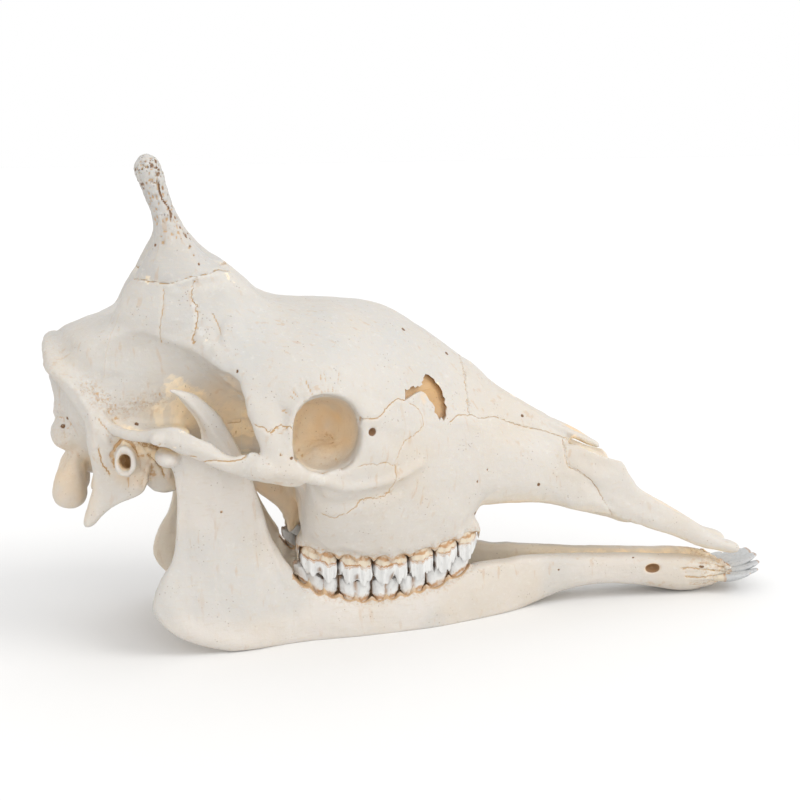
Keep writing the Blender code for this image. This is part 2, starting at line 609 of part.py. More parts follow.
def cranium():
    """The skull without its lower jaw, in one piece."""
    solids = [
        lofted("shell", CRANIUM_LINES, SECTION_STEP),
        limb("skull_base", SKULL_BASE, sides=12),
        lump("occiput", *OCCIPUT),
    ]
    solids += both(
        limb("nuchal_crest", NUCHAL_CREST, across=(1, 0, 0), sides=12),
        limb("arch", ARCH, sides=12),
        limb("postorbital_bar", POSTORBITAL_BAR, across=(1, 0, 0), sides=12),
        hoop("orbit_rim", ORBIT_RIM, RIM_RADIUS),
        lump("exoccipital", *EXOCCIPITAL),
        limb("condyle", CONDYLE, across=(1, 0, 0), square=2.3),
        lump("mastoid", *MASTOID),
        limb("jaw_socket", JAW_SOCKET, across=(1, 0, 0), sides=12),
        lump("bulla", *BULLA),
        lump("bulla_foot", *BULLA_FOOT),
        limb("ear_tube", EAR_TUBE, across=(1, 0, 0)),
        slab("paracondylar", PARACONDYLAR, PARACONDYLAR_INNER, PARACONDYLAR_OUTER),
        slab("pterygoid", PTERYGOID, PTERYGOID_INNER, PTERYGOID_OUTER),
        limb("horn", HORN, sides=24, round_ends=True, level=True),
        limb("premaxilla", PREMAXILLA, across=PREMAXILLA_LEAN, sides=12, square=2.4, round_ends=True),
        limb("premaxilla_shelf", PREMAXILLA_SHELF, sides=10),
        limb("nasal", NASAL, sides=12),
    )
    hollows = [
        limb("nasal_cavity", NASAL_CAVITY, sides=20),
        limb("foramen_magnum", FORAMEN_MAGNUM),
        lump("nuchal_hollow", *NUCHAL_HOLLOW),
    ]
    hollows += both(
        limb("orbit", ORBIT, across=(1, 0, 0), sides=24, square=2.2),
        lump("orbit_back", *ORBIT_BACK),
        lump("temporal_recess", *TEMPORAL_RECESS),
        slab("face_gap", FACE_GAP, FACE_GAP_INNER, FACE_GAP_OUTER),
        limb("choana", CHOANA, sides=12),
        limb("ear_hole", EAR_HOLE, across=(1, 0, 0)),
        lump("lacrimal_notch", *LACRIMAL_NOTCH),
    )
    inlays = both(lump("orbit_floor", *ORBIT_FLOOR))
    bone = fuse("cranium", solids, hollows, inlays, VOXEL)
    thin_out(bone, SKULL_TRIANGLES)
    return bone


def grown(corners, by):
    """The corners of an outline, moved outwards."""
    points = [Vector(c) for c in corners]
    count = len(points)
    area = sum(points[i].cross(points[(i + 1) % count]) for i in range(count))
    sign = 1 if area > 0 else -1
    moved = []
    for i, point in enumerate(points):
        into = (point - points[i - 1]).normalized()
        out = (points[(i + 1) % count] - point).normalized()
        normal = Vector((into.y + out.y, -into.x - out.x)).normalized() * sign
        stretch = max(0.5, normal.dot(Vector((into.y, -into.x)) * sign))
        moved.append(tuple(point + normal * by / stretch))
    return moved


def part_cranium(skull):
    """Divides the cranium into its nodes with thin cuts."""
    half = GAP / 2
    for side, sign in (("left", 1), ("right", -1)):
        def prism(corners, inner, outer):
            low, high = sorted((inner * sign, outer * sign))
            return lambda more: slab("cutter", grown(corners, more), low - more, high + more, rounded=False)

        claim(skull, "horn_" + side, prism(HORN_CUT, HORN_INNER, HORN_OUTER), GAP)
        claim(skull, "nasal_" + side, prism(NASAL_CUT, half, NASAL_HALF_WIDTH), GAP)
        claim(skull, "premaxilla_" + side, prism(PREMAXILLA_CUT, half, PREMAXILLA_OUTER), GAP)
        claim(skull, "zygomatic_arch_" + side, prism(ARCH_CUT, ARCH_INNER, ARCH_OUTER), GAP)

    def rear(more):
        return slab("cutter", grown(BRAINCASE_CUT, more), -FAR, FAR, rounded=False)

    claim(skull, "braincase", rear, GAP)
    skull.name = "face"
    keep_largest(skull)


# The lower jaw.

def jaw_half():
    """The left half of the lower jaw, without teeth: a plate with the side outline, bent to its run."""
    blank = slab("jaw_blank", JAW_OUTLINE, -JAW_BLANK, JAW_BLANK)
    remesh(blank, JAW_VOXEL)
    points = np.empty(len(blank.data.vertices) * 3)
    blank.data.vertices.foreach_get("co", points)
    points = points.reshape(-1, 3) / MM
    edge = ring_spline(JAW_OUTLINE)
    start, way = edge, np.roll(edge, -1, 0) - edge
    flat = points[:, [0, 2]]
    nearest = np.full(len(flat), 1e9)
    for a, d in zip(start, way):
        t = np.clip(((flat - a) @ d) / (d @ d), 0, 1)
        nearest = np.minimum(nearest, np.hypot(*(flat - a - t[:, None] * d).T))
    run = along(JAW_RUN, points[:, 0])
    inset = np.clip(nearest / JAW_ROUNDING, 0, 1)
    roundness = EDGE_SHARE + (1 - EDGE_SHARE) * np.sqrt(1 - (1 - inset) ** 2)
    points[:, 1] = run[:, 0] + points[:, 1] / JAW_BLANK * run[:, 1] * roundness
    ahead = np.clip((points[:, 0] - KEEL_START) / (KEEL_FULL - KEEL_START), 0, 1)
    under = np.clip(1 - points[:, 2] / KEEL_HEIGHT, 0, 1)
    aside = np.clip((points[:, 1] - KEEL_INNER) / KEEL_WIDTH, 0, 1.3)
    points[:, 2] += KEEL_LIFT * ahead * under * aside ** 1.5
    blank.data.vertices.foreach_set("co", (points * MM).ravel())
    bone = joined("mandible_left", [blank, lump("jaw_condyle", *JAW_CONDYLE)])
    remesh(bone, JAW_VOXEL)
    smooth(bone, SMOOTHING)
    thin_out(bone, JAW_TRIANGLES)
    square = ((-FAR, -FAR), (FAR, -FAR), (FAR, FAR), (-FAR, FAR))
    midline = slab("cutter", square, -FAR, GAP / 2, rounded=False)
    combine(bone, midline, "DIFFERENCE")
    return bone


# Teeth.

def bite_at(x):
    """The height at which the upper and lower rows meet."""
    return along(BITE, x)[0][0]


def cheek_tooth(start, end, row, lobes, upper, dice):
    """One cheek tooth as pillars, each with a pointed outer blade in the upper row."""
    pieces = []
    pitch = (end - start) / lobes
    way = -1 if upper else 1
    ahead, inward = Vector((1, 0, 0)), Vector((0, 1, 0))
    for i in range(lobes):
        x = start + pitch * (i + 0.5)
        y, half_width, neck = along(row, x)[0][:3]
        face = bite_at(x)
        middle = (neck + face) / 2
        length = pitch * (PILLAR_SHARE + dice.uniform(0, LENGTH_SPREAD))
        lean = dice.uniform(-LEAN_SPREAD, LEAN_SPREAD)
        rings = []
        for height, (long, wide) in zip((neck - way * ROOT_DEPTH, middle, face), PILLAR):
            centre = Vector((x + lean, y, height))
            rings.append(section(centre, ahead, inward, length * long, half_width * wide, 8, PILLAR_SQUARE, 0.5))
        for corner in rings[-1]:
            corner.z = bite_at(corner.x) - way * GAP / 2
        pieces.append(bridged(rings, "pillar"))
        if upper:
            point = along(row, x)[0][3] + dice.uniform(-POINT_SPREAD, POINT_SPREAD)
            wall = y + half_width - BLADE_INSET
            blade = []
            for height, (long, thick, out) in zip((neck + BLADE_ROOT, middle, face - 1, point), BLADE):
                blade.append((x + lean, wall + out, height, length * long, thick))
            pieces.append(limb("blade", blade, across=(1, 0, 0), sides=6, per_span=1))
    return pieces


def front_tooth(root_x, root_y, root_z, tip_x, tip_y, tip_z, half_width):
    """One of the flat front teeth, which lie nearly level."""
    root, tip = Vector((root_x, root_y, root_z)), Vector((tip_x, tip_y, tip_z))
    knots = []
    for share, wide, thick, rise in FRONT_SHAPE:
        at = root.lerp(tip, share)
        knots.append((at.x, at.y, at.z + rise, half_width * wide, thick))
    return limb("front_tooth", knots, sides=8, per_span=1)


def add_teeth():
    """Joins every tooth to the node that it grows from."""
    dice = random.Random(SEED)
    face = bpy.data.objects["face"]
    uppers = []
    for start, end, lobes in zip(UPPER_ENDS, UPPER_ENDS[1:], UPPER_LOBES):
        uppers += cheek_tooth(start, end, UPPER_ROW, lobes, True, dice)
    unite(face, both(*uppers))
    lowers = []
    for start, end, lobes in zip(LOWER_ENDS, LOWER_ENDS[1:], LOWER_LOBES):
        lowers += cheek_tooth(start, end, LOWER_ROW, lobes, False, dice)
    lowers += [front_tooth(*sizes) for sizes in FRONT_TEETH]
    unite(bpy.data.objects["mandible_left"], lowers)


# Putting it on the floor.

def settle():
    """Tips the whole skull onto its jaw, centres it, and flattens the jaw where it stands."""
    tip = Matrix.Translation((0, 0, LIFT * MM)) @ Matrix.Rotation(math.radians(TIP_DEGREES), 4, "Y")
    nodes = list(bpy.context.scene.objects)
    for node in nodes:
        node.data.transform(tip)
    along_x = [v.co.x for node in nodes for v in node.data.vertices]
    across_y = [v.co.y for node in nodes for v in node.data.vertices]
    centre = ((min(along_x) + max(along_x)) / 2, (min(across_y) + max(across_y)) / 2)
    for node in nodes:
        node.data.transform(Matrix.Translation((-centre[0], -centre[1], 0)))
    for side in ("left", "right"):
        under = slab("cutter", ((-FAR, -FAR), (FAR, -FAR), (FAR, 0), (-FAR, 0)), -FAR, FAR, rounded=False)
        combine(bpy.data.objects["mandible_" + side], under, "DIFFERENCE")


def finish_nodes():
    """Gives each node its material and its shading."""
    for node in bpy.context.scene.objects:
        keep_largest(node)
        node.data.materials.clear()
        if node.name.startswith("horn"):
            node.data.materials.append(material("horn_bone", HORN_BONE))
        elif node.name.startswith("mandible"):
            node.data.materials.append(material("jaw_bone", JAW_BONE))
        else:
            node.data.materials.append(material("bone", BONE))
        for polygon in node.data.polygons:
            polygon.use_smooth = True
            polygon.material_index = 0


def main():
    """Builds every node."""
    remove(*list(bpy.data.objects))
    part_cranium(cranium())
    jaw_half()
    add_teeth()
    mirrored(bpy.data.objects["mandible_left"], "mandible_right")
    settle()
    finish_nodes()


if __name__ == "__main__":
    main()
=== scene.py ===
"""The looks of a giraffe's skull: worked bone with its seams, pores and stains, detailed teeth, a pale studio.

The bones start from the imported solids, which this script reads through the frame. It works in millimetres
before the skull is tipped onto its jaw, with +X to the muzzle, +Y to the animal's left and +Z up.
"""

import logging
import math
from collections.abc import Iterable, Sequence
from dataclasses import dataclass, field
from enum import Enum

import bmesh
import bpy
import numpy as np
from mathutils import Matrix, Vector
from mathutils.bvhtree import BVHTree
from mathutils.geometry import tessellate_polygon
from mathutils.kdtree import KDTree

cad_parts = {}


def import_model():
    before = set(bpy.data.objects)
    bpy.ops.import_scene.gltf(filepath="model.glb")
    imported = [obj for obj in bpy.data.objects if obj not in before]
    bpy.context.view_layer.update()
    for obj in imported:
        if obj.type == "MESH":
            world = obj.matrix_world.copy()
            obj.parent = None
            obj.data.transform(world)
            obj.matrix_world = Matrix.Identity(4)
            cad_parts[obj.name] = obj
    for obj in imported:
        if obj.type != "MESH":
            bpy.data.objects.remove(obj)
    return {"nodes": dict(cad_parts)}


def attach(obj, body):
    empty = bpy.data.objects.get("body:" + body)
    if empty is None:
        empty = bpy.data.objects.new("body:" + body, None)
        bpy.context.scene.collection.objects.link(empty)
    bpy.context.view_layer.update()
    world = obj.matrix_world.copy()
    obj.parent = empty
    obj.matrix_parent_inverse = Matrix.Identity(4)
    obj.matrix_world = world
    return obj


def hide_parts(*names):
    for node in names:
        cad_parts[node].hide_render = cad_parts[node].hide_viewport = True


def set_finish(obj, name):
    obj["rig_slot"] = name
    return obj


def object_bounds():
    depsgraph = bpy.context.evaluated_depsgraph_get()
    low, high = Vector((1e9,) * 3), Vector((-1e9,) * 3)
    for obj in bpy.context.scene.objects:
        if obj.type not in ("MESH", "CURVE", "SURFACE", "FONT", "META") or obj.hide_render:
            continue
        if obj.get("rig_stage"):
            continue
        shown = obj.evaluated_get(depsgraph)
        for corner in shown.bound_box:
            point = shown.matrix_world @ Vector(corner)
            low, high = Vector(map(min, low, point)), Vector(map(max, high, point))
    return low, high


LOG = logging.getLogger("giraffe_skull")
MM = 0.001
SEED = 23
BODY = "root"
LATTICE = 32
FAR = 1e6
LEFTWARD = (0.0, 1.0, 0.0)
# Bone is shaded smooth where its faces meet at less than this.
SHARP_DEGREES = 60
# How deep the bumps of a finish are, in metres.
BUMP_DEPTH = 0.0007
# Seams are drawn where the bone carries how far away they are, up to this many millimetres.
SEAM_REACH = 6.0

Array = np.ndarray
Knots = Sequence[Sequence[float]]
Triple = tuple[float, float, float]
Socket = bpy.types.NodeSocket
Thing = bpy.types.Object
Material = bpy.types.Material


class Side(Enum):
    """A side of the animal, as the sign of Y."""

    LEFT = 1
    RIGHT = -1

    @property
    def word(self) -> str:
        """The side's name in the names of pieces."""
        return self.name.lower()


class Row(Enum):
    """A row of cheek teeth, as the direction in Z from root to crown."""

    UPPER = -1
    LOWER = 1


class Operation(Enum):
    """What a cut does with the other shape."""

    CUT = "DIFFERENCE"
    KEEP = "INTERSECT"


@dataclass(frozen=True)
class Stance:
    """How the skull is tipped and moved from the worktable to the floor."""

    tip_degrees: float = 0.8
    lift: float = 3.2
    shift: float = -3.900

    def to_floor(self) -> Matrix:
        """The move from table millimetres to metres on the floor."""
        tip = Matrix.Rotation(math.radians(self.tip_degrees), 4, "Y")
        return Matrix.Translation((self.shift * MM, 0, self.lift * MM)) @ tip @ Matrix.Scale(MM, 4)

    def to_table(self) -> Matrix:
        """The move from metres on the floor to table millimetres."""
        return self.to_floor().inverted()


STANCE = Stance()


@dataclass
class Skin:
    """A surface as arrays.

    Attributes:
        points: One row of x, y, z a point, in table millimetres.
        faces: One row of three or four point numbers a face.
    """

    points: Array
    faces: Array

    def mirrored(self) -> "Skin":
        """The same surface on the other side of the skull."""
        return Skin(self.points * (1, -1, 1), self.faces[:, ::-1])

    def on(self, side: Side) -> "Skin":
        """A surface of the left side, as it is on either side."""
        return self if side is Side.LEFT else self.mirrored()


# Curves and noise.


def spline(knots: Knots, per_span: int) -> Array:
    """Points on a smooth curve through the knots.

    Args:
        knots: Rows of any number of values.
        per_span: How many points each span between two knots gets.

    Returns:
        One row a point.
    """
    k = np.array(knots, float)
    k = np.vstack([2 * k[0] - k[1], k, 2 * k[-1] - k[-2]])
    t = np.arange(per_span)[:, None] / per_span
    spans = [
        0.5 * (2 * k[i] + (k[i + 1] - k[i - 1]) * t
               + (2 * k[i - 1] - 5 * k[i] + 4 * k[i + 1] - k[i + 2]) * t ** 2
               + (3 * k[i] - k[i - 1] - 3 * k[i + 1] + k[i + 2]) * t ** 3)
        for i in range(1, len(k) - 2)
    ]
    return np.vstack([*spans, k[-2:-1]])


def read_row(row: Knots, x: Array | float) -> Array:
    """The other columns of a table where its first column is x.

    Args:
        row: A table whose first column rises.
        x: Where to read it.

    Returns:
        One row of values for each x.
    """
    table = np.array(row, float)
    at = np.atleast_1d(x)
    return np.stack([np.interp(at, table[:, 0], table[:, c]) for c in range(1, table.shape[1])], axis=1)


def step(low: float, high: float, value: Array) -> Array:
    """A smooth rise from 0 at low to 1 at high."""
    t = np.clip((value - low) / (high - low), 0, 1)
    return t * t * (3 - 2 * t)


def noise(points: Array, size: float, seed: int) -> Array:
    """Smooth random values from -1 to 1 in space.

    Args:
        points: Where to read it, one row a point.
        size: The size of its patches, in the points' unit.
        seed: Which of many such fields it is.

    Returns:
        One value a point.
    """
    lattice = np.random.default_rng(seed).uniform(-1, 1, (LATTICE,) * 3)
    at = points / size + 500.0
    base = np.floor(at).astype(int)
    t = at - base
    t = t * t * (3 - 2 * t)
    total = np.zeros(len(points))
    for corner in np.ndindex(2, 2, 2):
        share = np.prod([t[:, a] if c else 1 - t[:, a] for a, c in enumerate(corner)], axis=0)
        i, j, k = ((base[:, a] + corner[a]) % LATTICE for a in range(3))
        total += share * lattice[i, j, k]
    return total


# Meshes.


def placed(points: Array, matrix: Matrix) -> Array:
    """Places, one a row, moved by a matrix."""
    turn = np.array(matrix)
    return points @ turn[:3, :3].T + turn[:3, 3]


def fetched(rows: bpy.types.bpy_prop_collection, key: str, kind: type, columns: int) -> Array:
    """What a mesh says of each of its parts, one row a part.

    Args:
        rows: The parts.
        key: The name of the value.
        kind: The kind of its numbers.
        columns: How many numbers a part has.

    Returns:
        Its numbers.
    """
    values = np.empty(len(rows) * columns, kind)
    rows.foreach_get(key, values)
    return values.reshape(-1, columns)


def creases(item: Thing, rounds: int) -> Array:
    """How deep each point lies between its neighbours.

    Args:
        item: The object, in table millimetres.
        rounds: How far round each point this looks, in steps from point to point.

    Returns:
        Millimetres, less than 0 on a ridge.
    """
    a, b = fetched(item.data.edges, "vertices", np.int32, 2).T
    points = read_points(item)
    smooth = points.copy()
    count = (np.bincount(a, None, len(points)) + np.bincount(b, None, len(points))).astype(float)[:, None]
    for _ in range(rounds):
        total = np.stack([np.bincount(a, smooth[b, c], len(points)) + np.bincount(b, smooth[a, c], len(points))
                          for c in range(3)], 1)
        smooth = 0.5 * smooth + 0.5 * total / np.maximum(count, 1)
    return np.einsum("ij,ij->i", smooth - points, read_normals(item))


def in_scene(name: str, data: bpy.types.ID) -> Thing:
    """A new object in the scene, with that data."""
    made = bpy.data.objects.new(name, data)
    bpy.context.scene.collection.objects.link(made)
    return made


def mesh_object(name: str, skin: Skin) -> Thing:
    """A smoothly shaded object from a surface.

    Args:
        name: The object's name.
        skin: Its surface.

    Returns:
        The object, in the scene, in table millimetres.
    """
    sides = skin.faces.shape[1]
    data = bpy.data.meshes.new(name)
    data.vertices.add(len(skin.points))
    data.vertices.foreach_set("co", skin.points.astype(np.float32).ravel())
    data.loops.add(skin.faces.size)
    data.loops.foreach_set("vertex_index", skin.faces.astype(np.int32).ravel())
    data.polygons.add(len(skin.faces))
    data.polygons.foreach_set("loop_start", np.arange(0, skin.faces.size, sides, dtype=np.int32))
    data.polygons.foreach_set("use_smooth", np.ones(len(skin.faces), bool))
    data.update(calc_edges=True)
    return in_scene(name, data)


def joined_skins(skins: Iterable[Skin]) -> Skin:
    """One surface that holds all the surfaces, as triangles.

    Args:
        skins: The surfaces.

    Returns:
        One surface, whose points are in the same order.
    """
    points, faces, count = [], [], 0
    for skin in skins:
        points.append(skin.points)
        faces.append(skin.faces + count)
        count += len(skin.points)
    return Skin(np.vstack(points), np.vstack(faces))


def read_points(item: Thing) -> Array:
    """The object's points, one row each."""
    return fetched(item.data.vertices, "co", np.float32, 3).astype(float)


def read_normals(item: Thing) -> Array:
    """The directions in which the object's points face."""
    return fetched(item.data.vertex_normals, "vector", np.float32, 3).astype(float)


def taken_skin(item: Thing) -> Skin:
    """The object's surface in triangles. The object is removed.

    Args:
        item: The object.

    Returns:
        Its surface.
    """
    item.data.calc_loop_triangles()
    skin = Skin(read_points(item), fetched(item.data.loop_triangles, "vertices", np.int32, 3))
    bpy.data.objects.remove(item)
    return skin


def write_points(item: Thing, points: Array) -> None:
    """Moves the object's points to new places."""
    item.data.vertices.foreach_set("co", points.astype(np.float32).ravel())
    item.data.update()


def paint(item: Thing, **numbers: Array) -> None:
    """Stores numbers from -1 to 1, one a point, which the finishes read by their names."""
    for name, values in numbers.items():
        layer = item.data.attributes.new(name, "FLOAT", "POINT")
        layer.data.foreach_set("value", np.clip(values, -1, 1).astype(np.float32))


def apply_modifiers(item: Thing) -> None:
    """Makes the evaluated mesh the object's own.

    Args:
        item: The object.
    """
    bpy.context.view_layer.update()
    evaluated = item.evaluated_get(bpy.context.evaluated_depsgraph_get())
    data = bpy.data.meshes.new_from_object(evaluated)
    item.modifiers.clear()
    old, item.data = item.data, data
    bpy.data.meshes.remove(old)


def remesh(item: Thing, voxel: float, rounds: int) -> None:
    """Fuses what overlaps in the object into one even skin, and softens it.

    Args:
        item: The object.
        voxel: The size of the new faces, in millimetres.
        rounds: How often the skin is softened.
    """
    skin = item.modifiers.new("skin", "REMESH")
    skin.mode = "VOXEL"
    skin.voxel_size = voxel
    skin.use_smooth_shade = True
    if rounds:
        even = item.modifiers.new("even", "SMOOTH")
        even.iterations = rounds
        even.factor = 0.5
    apply_modifiers(item)


def combine(item: Thing, other: Thing, operation: Operation) -> None:
    """Cuts the object with another, which is removed.

    Args:
        item: A closed object.
        other: The closed shape that cuts it.
        operation: Which part stays.
    """
    change = item.modifiers.new("change", "BOOLEAN")
    change.operation = operation.value
    change.solver = "MANIFOLD"
    change.object = other
    apply_modifiers(item)
    bpy.data.objects.remove(other)


def turned(count: int) -> tuple[Array, Array]:
    """The numbers of the points round a ring, and those of the points after them."""
    here = np.arange(count)
    return here, np.roll(here, -1)


def bridged(rings: Sequence[Array]) -> Skin:
    """A closed skin over rings of points.

    Args:
        rings: Rings with the same number of points, in order.

    Returns:
        The skin, in triangles, with its faces out.
    """
    count = len(rings[0])
    points = [np.asarray(r, float) for r in rings]
    points += [points[0].mean(0)[None], points[-1].mean(0)[None]]
    here, there = turned(count)
    faces = []
    for low in range(0, (len(rings) - 1) * count, count):
        high = low + count
        faces.append(np.stack([low + here, low + there, high + there], 1))
        faces.append(np.stack([low + here, high + there, high + here], 1))
    top, centres = (len(rings) - 1) * count, len(rings) * count
    faces.append(np.stack([there, here, np.full(count, centres)], 1))
    faces.append(np.stack([top + here, top + there, np.full(count, centres + 1)], 1))
    skin = Skin(np.vstack(points), np.vstack(faces))
    a, b, c = (skin.points[skin.faces[:, i]] for i in range(3))
    if np.einsum("ij,ij->i", a, np.cross(b, c)).sum() < 0:
        skin.faces = skin.faces[:, ::-1]
    return skin


def rounded(count: int, power: float) -> Array:
    """Points round a rectangle with rounded corners, as two rows that go from -1 to 1."""
    angle = np.arange(count) * math.tau / count
    way = np.stack([np.cos(angle), np.sin(angle)])
    return np.sign(way) * np.abs(way) ** power


def limb(knots: Knots, across: Sequence[float] = (0, 1, 0), sides: int = 20, square: float = 2.0) -> Skin:
    """A bar along a smooth path.

    Args:
        knots: Rows of x, y, z, half width and half height.
        across: The direction of its width.
        sides: How many points its cross sections get.
        square: 2 for round cross sections, more for squarer ones.

    Returns:
        Its closed skin.
    """
    rows = spline(knots, 6)
    last = len(rows) - 1
    wide, high = rounded(sides, 2 / square)
    rings = []
    for i, row in enumerate(rows):
        tangent = Vector(rows[min(i + 1, last)][:3] - rows[max(i - 1, 0)][:3]).normalized()
        side = Vector(across)
        side = (side - tangent * side.dot(tangent)).normalized()
        up = np.array(tangent.cross(side))
        middle = np.array(Vector(row[:3]))
        rings.append(middle + (wide * row[3])[:, None] * np.array(side) + (high * row[4])[:, None] * up)
    return bridged(rings)


def slab(outline: Knots, inner: float, outer: float) -> Skin:
    """A plate with an outline in X and Z.

    Args:
        outline: Its corners, as x and z.
        inner: The Y of one face.
        outer: The Y of the other face.

    Returns:
        Its closed skin.
    """
    flat = np.array(outline, float)
    turn = np.roll(flat, -1, 0)
    if (flat[:, 0] * turn[:, 1] - flat[:, 1] * turn[:, 0]).sum() < 0:
        flat = flat[::-1]
    count = len(flat)
    caps = np.array(tessellate_polygon([[Vector((x, z, 0)) for x, z in flat]]))
    a, b, c = (flat[caps[:, i]] for i in range(3))
    back = (b[:, 0] - a[:, 0]) * (c[:, 1] - a[:, 1]) - (b[:, 1] - a[:, 1]) * (c[:, 0] - a[:, 0]) < 0
    caps[back] = caps[back][:, ::-1]
    here, there = turned(count)
    walls = [np.stack([here, here + count, there + count], 1), np.stack([here, there + count, there], 1)]
    low, high = sorted((inner, outer))
    points = np.vstack([np.stack([flat[:, 0], np.full(count, y), flat[:, 1]], 1) for y in (low, high)])
    return Skin(points, np.vstack([caps, caps[:, ::-1] + count, *walls]))


def keep_largest(item: Thing) -> None:
    """Drops every closed surface of the object but the largest.

    Args:
        item: The object.
    """
    a, b = fetched(item.data.edges, "vertices", np.int32, 2).T
    label = np.arange(len(item.data.vertices))
    while True:
        low = np.minimum(label[a], label[b])
        before = label.copy()
        np.minimum.at(label, a, low)
        np.minimum.at(label, b, low)
        label = label[label]
        if (label == before).all():
            break
    groups, sizes = np.unique(label, return_counts=True)
    if len(groups) == 1:
        return
    mesh = bmesh.new()
    mesh.from_mesh(item.data)
    mesh.verts.ensure_lookup_table()
    small = np.nonzero(label != groups[sizes.argmax()])[0]
    bmesh.ops.delete(mesh, geom=[mesh.verts[i] for i in small], context="VERTS")
    mesh.to_mesh(item.data)
    mesh.free()


# Finishes.


@dataclass(frozen=True)
class BoneFinish:
    """Dry bone: ivory with cloudy patches, tan and golden painted warm shade in its hollows, brown painted shade
    and dirt in its creases, and brown seams.

    It reads these numbers that the mesh carries: the tan painted warm shade with the chin's stain, the golden
    painted shade with golden stains, grey, crust, pores, crease (where brown painted shade and dirt go), edge, seam
    (how far the nearest seam is, with its side as the sign, in units of SEAM_REACH), near (how strong that seam is)
    and the dark painted shade of the holes.
    """

    name: str = "bone"
    ivory: Triple = (0.565, 0.53, 0.485)
    cream: Triple = (0.565, 0.505, 0.43)
    chalk: Triple = (0.505, 0.495, 0.475)
    white: Triple = (0.66, 0.645, 0.615)
    tan: Triple = (0.93, 0.77, 0.54)
    gold: Triple = (0.84, 0.55, 0.25)
    rust: Triple = (0.48, 0.28, 0.115)
    brown: Triple = (0.17, 0.08, 0.03)
    roughness: float = 0.52
    grain: float = 0.9
    shine: float = 0.38
    glow: float = 0.12
    glow_colour: Triple = (1.0, 0.6, 0.3)
    glow_depth: float = 0.006
    seam_half_width: float = 0.26

    def material(self) -> Material:
        """Builds the material.

        Returns:
            A Principled material with a procedural colour, roughness and bump.
        """
        sheet = NodeSheet(self.name)
        place = sheet.place()
        clouds = sheet.noise(place, 14.0, 3.0)
        patches = sheet.noise(place, 42.0, 4.0, rough=0.6)
        fibres = sheet.noise(sheet.stretched(place, (0.22, 1.0, 1.0)), 460.0, 4.0, rough=0.6)
        scratches = sheet.noise(sheet.stretched(place, (0.5, 1.0, 0.12)), 330.0, 3.0)
        mottle = sheet.noise(place, 240.0, 5.0, rough=0.7)
        fine = sheet.noise(place, 900.0, 5.0, rough=0.65)
        broken = sheet.reckon("MAXIMUM", sheet.ramp(scratches, 0.60, 0.72, 0.30),
                              sheet.ramp(mottle, 0.34, 0.22, 0.45))
        crumbs = sheet.ramp(sheet.noise(place, 520.0, 4.0, rough=0.7), 0.50, 0.62, 0.6)
        rough = sheet.times(sheet.number("crust"), crumbs)
        # Brown in the creases: painted shade and dirt together.
        crease_shade_and_dirt = sheet.sum([(sheet.number("crease"), 1.0), (mottle, 0.5)])
        specks = sheet.specks(place, 330.0, 0.09, 0.5)
        small = sheet.pores(sheet.stretched(place, (1.0, 1.0, 0.55)), 480.0, 0.30)
        pores = sheet.times(sheet.number("pores"), small)
        line = sheet.times(sheet.thin_line(place, self.seam_half_width), sheet.number("near"))
        sheet.coat(self.ivory, [
            (self.cream, sheet.ramp(clouds, 0.42, 0.70, 0.75)),
            (self.chalk, sheet.times(sheet.number("grey"), sheet.ramp(patches, 0.25, 0.6, 1.0, low=0.6))),
            (self.cream, sheet.ramp(fibres, 0.50, 0.72, 0.55)),
            (self.white, sheet.ramp(mottle, 0.54, 0.72, 0.35)),
            # Tan painted warm shade in the hollows, under the skull and on faces turned inward, with the chin's
            # stain.
            (self.tan, sheet.times(sheet.number("stain"), sheet.ramp(patches, 0.15, 0.75, 1.0, low=0.8))),
            # Golden painted shade in the hollows and holes, with golden stains on spongy and craggy bone.
            (self.gold, sheet.times(sheet.number("gold"), sheet.ramp(patches, 0.2, 0.7, 1.0, low=0.6))),
            (self.rust, sheet.times(broken, sheet.ramp(clouds, 0.3, 0.6, 1.0, low=0.3))),
            (self.rust, rough),
            # Rust in the creases, as painted shade and dirt.
            (self.rust, sheet.ramp(crease_shade_and_dirt, 0.52, 1.25, 0.75)),
            (self.white, sheet.times(sheet.number("edge"), sheet.ramp(mottle, 0.4, 0.6, 1.0, low=0.5))),
            (self.brown, specks),
            (self.brown, sheet.times(pores, sheet.ramp(mottle, 0.3, 0.6, 0.8, low=0.4))),
            (self.tan, sheet.times(sheet.number("near"), sheet.ramp(patches, 0.3, 0.6, 0.22))),
            (self.rust, line),
            # Dark brown painted into the holes, pores and the horn's slit as their shade.
            (self.brown, sheet.ramp(sheet.number("hole"), 0.42, 0.60, 0.9)),
        ])
        gloss = sheet.ramp(patches, 0.2, 0.8, self.roughness + 0.12, low=self.roughness - 0.06)
        sheet.link(gloss, sheet.shader.inputs["Roughness"])
        sheet.set("Specular IOR Level", self.shine)
        sheet.set("Subsurface Weight", self.glow)
        sheet.set("Subsurface Radius", self.glow_colour)
        sheet.set("Subsurface Scale", self.glow_depth)
        coarse = sheet.noise(place, 150.0, 4.0)
        height = sheet.sum([(fine, 0.30), (mottle, 0.35), (coarse, 0.3), (fibres, 0.35), (scratches, 0.25),
                            (specks, -0.6), (line, -0.9), (pores, -1.3), (rough, 0.5)])
        sheet.bump(height, self.grain, BUMP_DEPTH)
        return sheet.made


@dataclass(frozen=True)
class HornFinish(BoneFinish):
    """The bone of the horns: greyer and coarser."""

    name: str = "horn_bone"
    ivory: Triple = (0.505, 0.485, 0.455)
    chalk: Triple = (0.465, 0.455, 0.44)
    grain: float = 1.0


